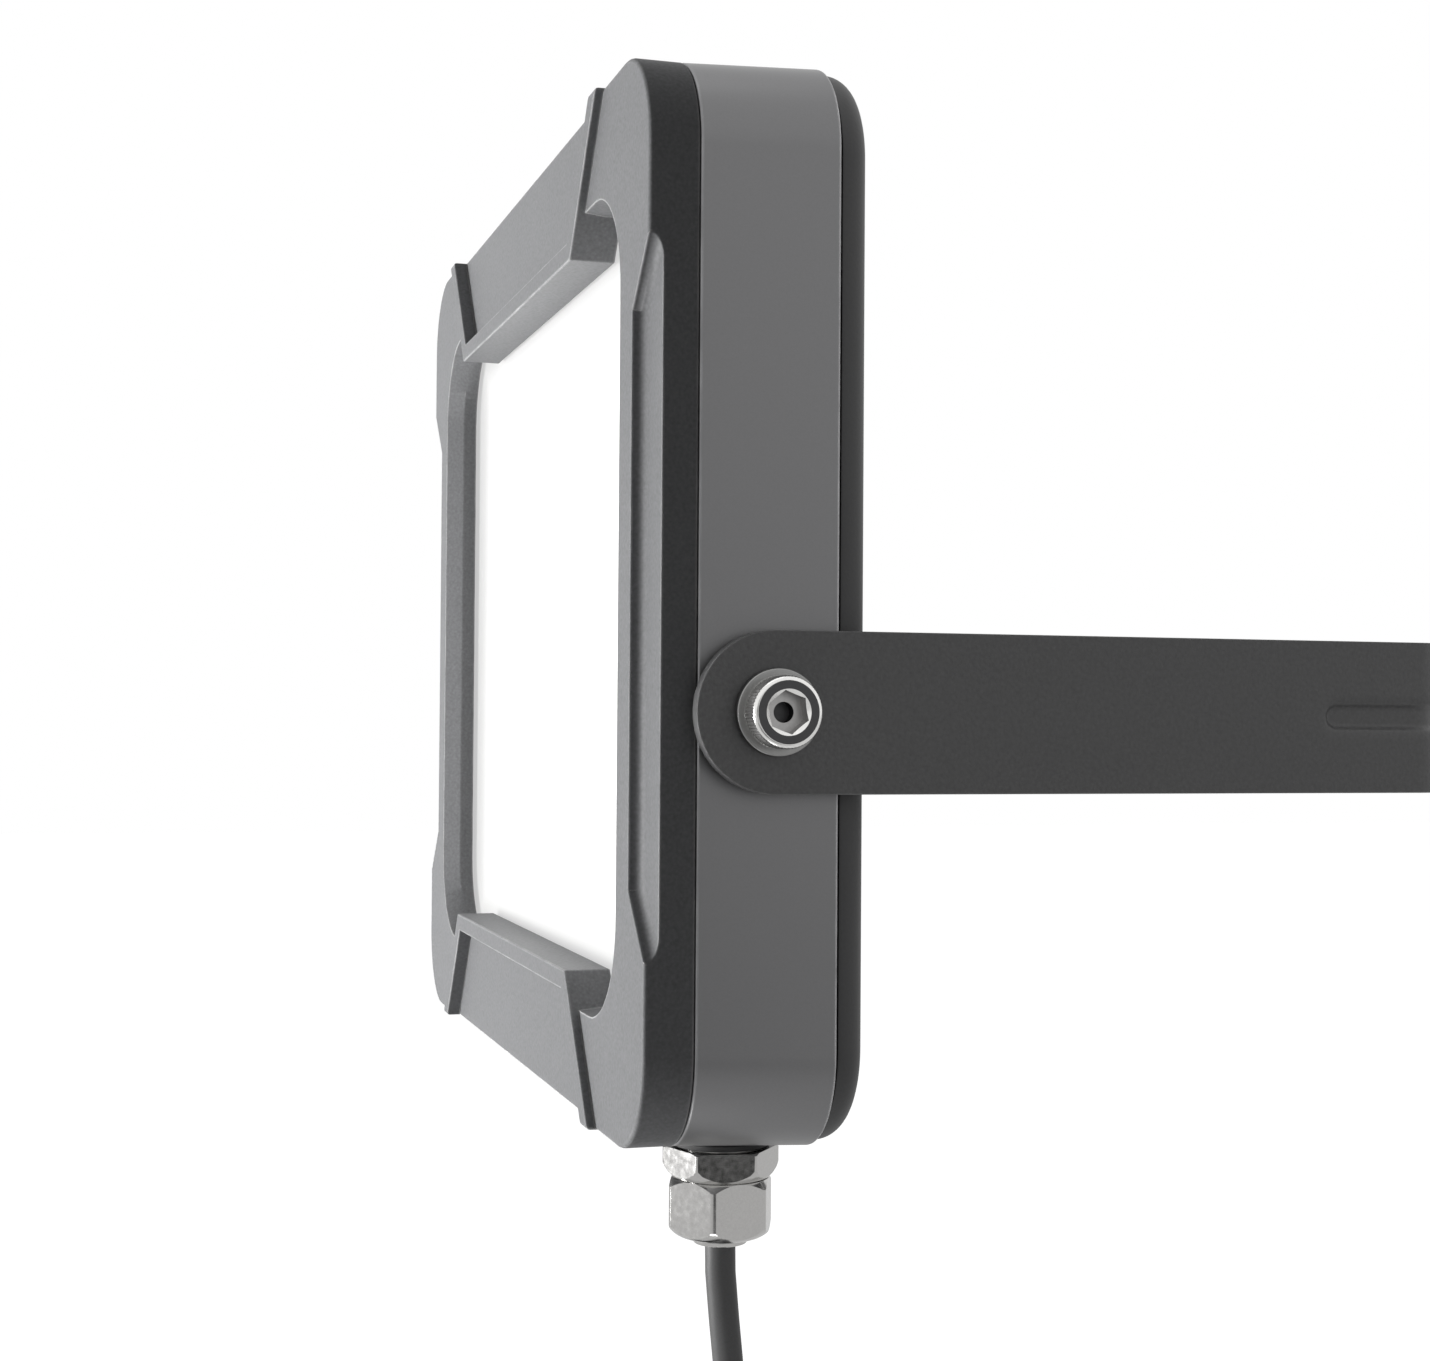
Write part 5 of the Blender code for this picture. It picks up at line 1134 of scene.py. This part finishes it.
# Pivot hardware, the same on both sides: a stainless M8 cap screw with a low knurled head, a
# flat washer, the strap's arm, and a black plastic friction washer against the housing.
PIVOT_HEAD = 0.00665
PIVOT_HEAD_X = (0.1306, 0.1356)
KNURL_RIBS = 64
KNURL_DEEP = 0.00022
PIVOT_SHANK = 0.0040
PIVOT_SHANK_END_X = 0.1146
WASHER_RADIUS = 0.0080
FRICTION_RADIUS = 0.0100
pivot_middle = (0, TILT_AXIS_Y, 0)
knurled = rod("pivot_cap_screw_right", PIVOT_HEAD, *PIVOT_HEAD_X, 0, pivot_middle, 2 * KNURL_RIBS)
for level in (PIVOT_HEAD_X[0] + 0.0004, PIVOT_HEAD_X[1] - 0.0012):
    pick(knurled, "FACE", lambda face: True)
    bpy.ops.mesh.bisect(plane_co=(level, 0, 0), plane_no=(1, 0, 0))
KNURL_STEP = math.pi / KNURL_RIBS


def in_knurl_groove(corner):
    """Every second rib line of the rim, between its two plain ends."""
    if not PIVOT_HEAD_X[0] + 0.0003 < corner.co.x < PIVOT_HEAD_X[1] - 0.0011:
        return False
    angle = math.atan2(corner.co.z, corner.co.y - TILT_AXIS_Y)
    return round(angle / KNURL_STEP) % 2 == 0


groove_share = 1 - KNURL_DEEP / PIVOT_HEAD
scale_corners(knurled, in_knurl_groove, (1, groove_share, groove_share), pivot_middle)
round_rims(knurled, lambda edge: in_plane(edge, 0, PIVOT_HEAD_X[1]), 0.0009, 4)
round_rims(knurled, lambda edge: in_plane(edge, 0, PIVOT_HEAD_X[0]), 0.0002, 1)
shank = rod("shank", PIVOT_SHANK, PIVOT_SHANK_END_X, 0.1320, 0, pivot_middle, 64)
round_rims(shank, lambda edge: in_plane(edge, 0, PIVOT_SHANK_END_X), 0.0005, 2)
weld(knurled, shank)
SOCKET_TURN = math.radians(-21)
SOCKET_FLOOR_X = 0.1324
socket = rod("socket", 0.0070 / math.sqrt(3), SOCKET_FLOOR_X, 0.1370, 0, (0, 0, 0), 6)
socket.data.transform(Matrix.Translation((0, TILT_AXIS_Y, 0)) @ Matrix.Rotation(SOCKET_TURN, 4, "X"))
mouth = rod("mouth", 0.0034, 0.1350, 0.1362, 0, pivot_middle, 96, 0.00504)
pilot = rod("pilot", 0.0019, 0.1298, 0.1330, 0, pivot_middle, 48)
carve(knurled, socket, mouth, pilot)
washer = rod("flat_washer_right", WASHER_RADIUS, 0.1287, 0.1303, 0, pivot_middle, 128)
carve(washer, rod("bore", PIVOT_BORE, 0.126, 0.132, 0, pivot_middle, 64))
soften(washer, 0.0003, 3, 50)
friction = rod("friction_washer_disc_right", FRICTION_RADIUS, 0.1243, 0.1251, 0, pivot_middle, 96)
carve(friction, rod("bore", PIVOT_BORE, 0.122, 0.128, 0, pivot_middle, 64))
soften(friction, 0.00015, 2, 50)
# Copies of one stainless steel: a paler one as painted highlight on the chamfers and shank, and darker ones
# as painted shade on the knurled rim and socket walls.
PIVOT_LIT_STEEL = turned_metal("pivot_screw_painted_highlight_steel", (0.80, 0.795, 0.78), 0.22, pivot_middle, ON_X, 4000.0, 0.12)
KNURL_SHADED_STEEL = turned_metal("knurl_painted_shade_steel", (0.42, 0.415, 0.41), 0.34, pivot_middle, ON_X, 4000.0, 0.12)
SOCKET_SHADED_STEEL = turned_metal("socket_painted_shade_steel", (0.42, 0.415, 0.41), 0.42, pivot_middle, ON_X, 4000.0, 0.12)
# The screw's top face is painted dark, and the pilot hole gets the same dark as painted shade.
PIVOT_DARK_FACE_AND_SHADE = turned_metal("pivot_screw_face", (0.075, 0.075, 0.077), 0.5, pivot_middle, bump=0.2)
WASHER_STEEL = turned_metal("washer_steel", (0.28, 0.28, 0.276), 0.34, pivot_middle, rings=2500.0, bump=0.2)
WASHER_PLASTIC = grained("washer_plastic", (0.026, 0.026, 0.027), 0.45, 1300.0, 0.2, 0.15, 0.1, 0.2)
for made, material, node, slot_name in (
    (knurled, PIVOT_LIT_STEEL, "pivot_screw", "stainless_steel"),
    (washer, WASHER_STEEL, "pivot_washer", "stainless_steel"),
    (friction, WASHER_PLASTIC, "friction_washer", "black_plastic"),
):
    finish_piece(made, material, None, [], 30)
    if made is knurled:
        for extra in (PIVOT_DARK_FACE_AND_SHADE, KNURL_SHADED_STEEL, SOCKET_SHADED_STEEL):
            made.data.materials.append(extra)
        # Top face and pilot hole: painted dark and painted shade. Knurled rim and socket walls: the darker,
        # shaded steels.
        for face in made.data.polygons:
            from_axis = math.hypot(face.center.y - TILT_AXIS_Y, face.center.z)
            top_face = face.normal.x > 0.99 and face.center.x > PIVOT_HEAD_X[1] - 0.0001
            if top_face or (from_axis < 0.00195 and 0.1297 < face.center.x < SOCKET_FLOOR_X - 0.0001):
                face.material_index = 1
            elif abs(face.normal.x) < 0.2 and from_axis > 0.006:
                face.material_index = 2
            elif from_axis < 0.0040 and (face.normal.x > 0.99 or abs(face.normal.x) < 0.2):
                face.material_index = 3
    other = add_object(made.name.replace("right", "left"), made.data.copy())
    other.data.transform(Matrix.Rotation(math.pi, 4, "Z"))
    other.data.transform(Matrix.Translation((0, 2 * TILT_AXIS_Y, 0)))
    for obj, label in ((made, "right"), (other, "left")):
        declare(obj, "head", [f"{node}_{label}"])

# Cable gland: nickel-plated brass, with a flat rubber ring, a hexagon body, a round collar,
# and a domed hexagon nut that squeezes the seal round the cord.
BODY_FLATS = 0.020
NUT_FLATS = 0.019
BODY_Z = (-0.0903, -0.0846)
NUT_Z = (-0.1022, -0.0906)
gland_middle = (GLAND_X, TILT_AXIS_Y, 0)


def hexagon(name, flats, ends, turned_by):
    """An upright hexagon bar on the gland's axis, one flat turned from +X by an angle."""
    obj = rod(name, flats / math.sqrt(3), *ends, 2, (0, 0, 0), 6)
    spin = Matrix.Rotation(math.radians(turned_by), 4, "Z")
    obj.data.transform(Matrix.Translation(gland_middle) @ spin)
    return obj


def lathe(name, profile, middle, steps=96):
    """A solid turned about the upright axis: profile is (radius, height), from the top down."""
    leave_editing()
    mesh = bpy.data.meshes.new(name)
    points = [(middle[0] + radius, middle[1], middle[2] + height) for radius, height in profile]
    mesh.from_pydata(points, [(i, i + 1) for i in range(len(points) - 1)], [])
    obj = add_object(name, mesh)
    pick(obj, "EDGE", lambda edge: True)
    bpy.ops.mesh.spin(steps=steps, angle=2 * math.pi, center=middle, axis=(0, 0, 1))
    bpy.ops.mesh.select_all(action="SELECT")
    bpy.ops.mesh.remove_doubles(threshold=0.000005)
    bpy.ops.mesh.normals_make_consistent(inside=False)
    leave_editing()
    return obj


seal_ring = rod("flat_seal_ring", 0.0096, -0.0843, -0.0831, 2, gland_middle, 96)
carve(seal_ring, rod("bore", GLAND_HOLE, -0.086, -0.081, 2, gland_middle, 64))
soften(seal_ring, 0.0003, 3, 50)
finish_piece(seal_ring, SEAL_RUBBER, "head", ["gland_o_ring"])

body_corner = BODY_FLATS / math.sqrt(3)
gland_body = hexagon("gland_hexagon_body", BODY_FLATS, BODY_Z, -10.4)
body_profile = [
    (0, BODY_Z[1] + 0.001),
    (body_corner - 0.0007, BODY_Z[1] + 0.001),
    (body_corner - 0.0007, BODY_Z[1]),
    (body_corner + 0.0002, BODY_Z[1] - 0.0006),
    (body_corner + 0.0001, BODY_Z[0] + 0.0030),
    (body_corner - 0.0005, BODY_Z[0] + 0.0016),
    (body_corner - 0.0013, BODY_Z[0] + 0.0006),
    (body_corner - 0.0019, BODY_Z[0]),
    (body_corner - 0.0024, BODY_Z[0] - 0.0006),
    (0, BODY_Z[0] - 0.0006),
]
round_rims(gland_body, lambda edge: runs_along(edge, 2), 0.0004, 3)
carve(gland_body, lathe("body_trim", body_profile, gland_middle), operation="INTERSECT")
weld(
    gland_body,
    rod("spigot", 0.0080, BODY_Z[0] + 0.0019, -0.0740, 2, gland_middle, 64),
    rod("collar", 0.0076, -0.0970, BODY_Z[1] - 0.0019, 2, gland_middle, 64),
)
carve(gland_body, rod("bore", 0.0056, -0.099, -0.072, 2, gland_middle, 48))
soften(gland_body, 0.0003, 3, 40)
NICKEL = turned_metal("nickel_plate", (0.51, 0.505, 0.495), 0.16, gland_middle, ON_Z, 2500.0, 0.05)
finish_piece(gland_body, NICKEL, "head", ["gland_body"], 30)

nut_corner = NUT_FLATS / math.sqrt(3)
dome_wide = nut_corner * 1.03
dome_nut = hexagon("gland_domed_nut", NUT_FLATS, NUT_Z, 6.2)
dome_profile = [
    (0, NUT_Z[1] + 0.001),
    (nut_corner * 0.80, NUT_Z[1] + 0.001),
    (nut_corner * 0.845, NUT_Z[1] + 0.0003),
    (nut_corner * 1.02, NUT_Z[1] - 0.0019),
    (dome_wide, NUT_Z[1] - 0.0060),
]
SHOULDER = 0.0052
shoulder_z = NUT_Z[0] + SHOULDER
for i in range(13):
    lean = math.radians(90 * i / 12)
    dome_x = dome_wide - 0.0046 * (1 - math.cos(lean))
    dome_profile.append((dome_x, shoulder_z - SHOULDER * math.sin(lean)))
dome_profile.append((0, NUT_Z[0]))
round_rims(dome_nut, lambda edge: runs_along(edge, 2), 0.0007, 4)
carve(dome_nut, lathe("dome", dome_profile, gland_middle), operation="INTERSECT")
RING_LOW = -0.1035
end_ring = rod("end_ring", 0.0053, RING_LOW, NUT_Z[0] + 0.0008, 2, gland_middle, 96)
round_rims(end_ring, lambda edge: in_plane(edge, 2, RING_LOW), 0.0003, 3)
weld(dome_nut, end_ring)
carve(
    dome_nut,
    rod("cord_bore", 0.0036, -0.105, -0.089, 2, gland_middle, 48),
    rod("seal_bore", 0.0055, NUT_Z[0] + 0.0012, -0.089, 2, gland_middle, 48),
    rod("collar_bore", 0.0079, -0.0973, -0.089, 2, gland_middle, 64),
)
soften(dome_nut, 0.0003, 3, 40)
finish_piece(dome_nut, NICKEL, "head", ["gland_dome_nut"], 25)

# Inside the head: the cord's end and cores, the locknut, the light module behind the opal
# sheet and the driver on its tray. They are hidden, so the CAD solids stay, each finished.
paint_nodes(CORD_RUBBER, "cord_inner_end", "led_lead_plus", "led_lead_minus")
paint_nodes(BROWN, "supply_core_live")
paint_nodes(BLUE, "supply_core_neutral")
paint_nodes(EARTH, "supply_core_earth")
inside_screws = [f"module_screw_{i}" for i in (1, 2, 3, 4)]
inside_screws += [f"driver_screw_{i}" for i in (1, 2)]
inside_screws += [f"terminal_screw_{i}" for i in (1, 2, 3)]
inserts = ["pivot_insert_right", "pivot_insert_left"]
plates = ["heat_spreader_plate", "driver_tray"]
for name, colour, grain, nodes in (
    ("plain_steel", STEEL_COLOUR, (0.32, 2500.0, 0.15, 0.12, 0.12, 0.2), inside_screws),
    ("plain_nickel", (0.52, 0.51, 0.49), (0.25, 2500.0, 0.1, 0.1, 0.1, 0.1), ["gland_locknut"]),
    ("turned_brass", (0.60, 0.43, 0.19), (0.34, 2200.0, 0.15, 0.15, 0.12, 0.2), inserts),
    ("rolled_aluminium", (0.62, 0.63, 0.64), (0.4, 900.0, 0.1, 0.12, 0.15, 0.15), plates),
):
    paint_nodes(grained(name, colour, *grain, metallic=1.0), *nodes)
for name, colour, grain, node in (
    ("white_reflector_sheet", (0.84, 0.84, 0.83), (0.45, 1200.0, 0.04, 0.05, 0.08, 0.08), "reflector_tray"),
    ("white_solder_mask", (0.80, 0.81, 0.80), (0.35, 2000.0, 0.06, 0.05, 0.08, 0.1), "led_board"),
    ("green_solder_mask", (0.03, 0.21, 0.09), (0.32, 1400.0, 0.2, 0.12, 0.1, 0.15), "driver_board"),
    ("terminal_nylon", (0.60, 0.59, 0.54), (0.5, 1500.0, 0.06, 0.08, 0.1, 0.1), "terminal_block"),
    ("winding_tape", (0.70, 0.50, 0.07), (0.4, 700.0, 0.15, 0.15, 0.1, 0.2), "driver_transformer"),
    ("can_sleeve", (0.05, 0.10, 0.30), (0.32, 900.0, 0.1, 0.1, 0.1, 0.1), "driver_capacitor"),
):
    paint_nodes(grained(name, colour, *grain), node)

leave_editing()
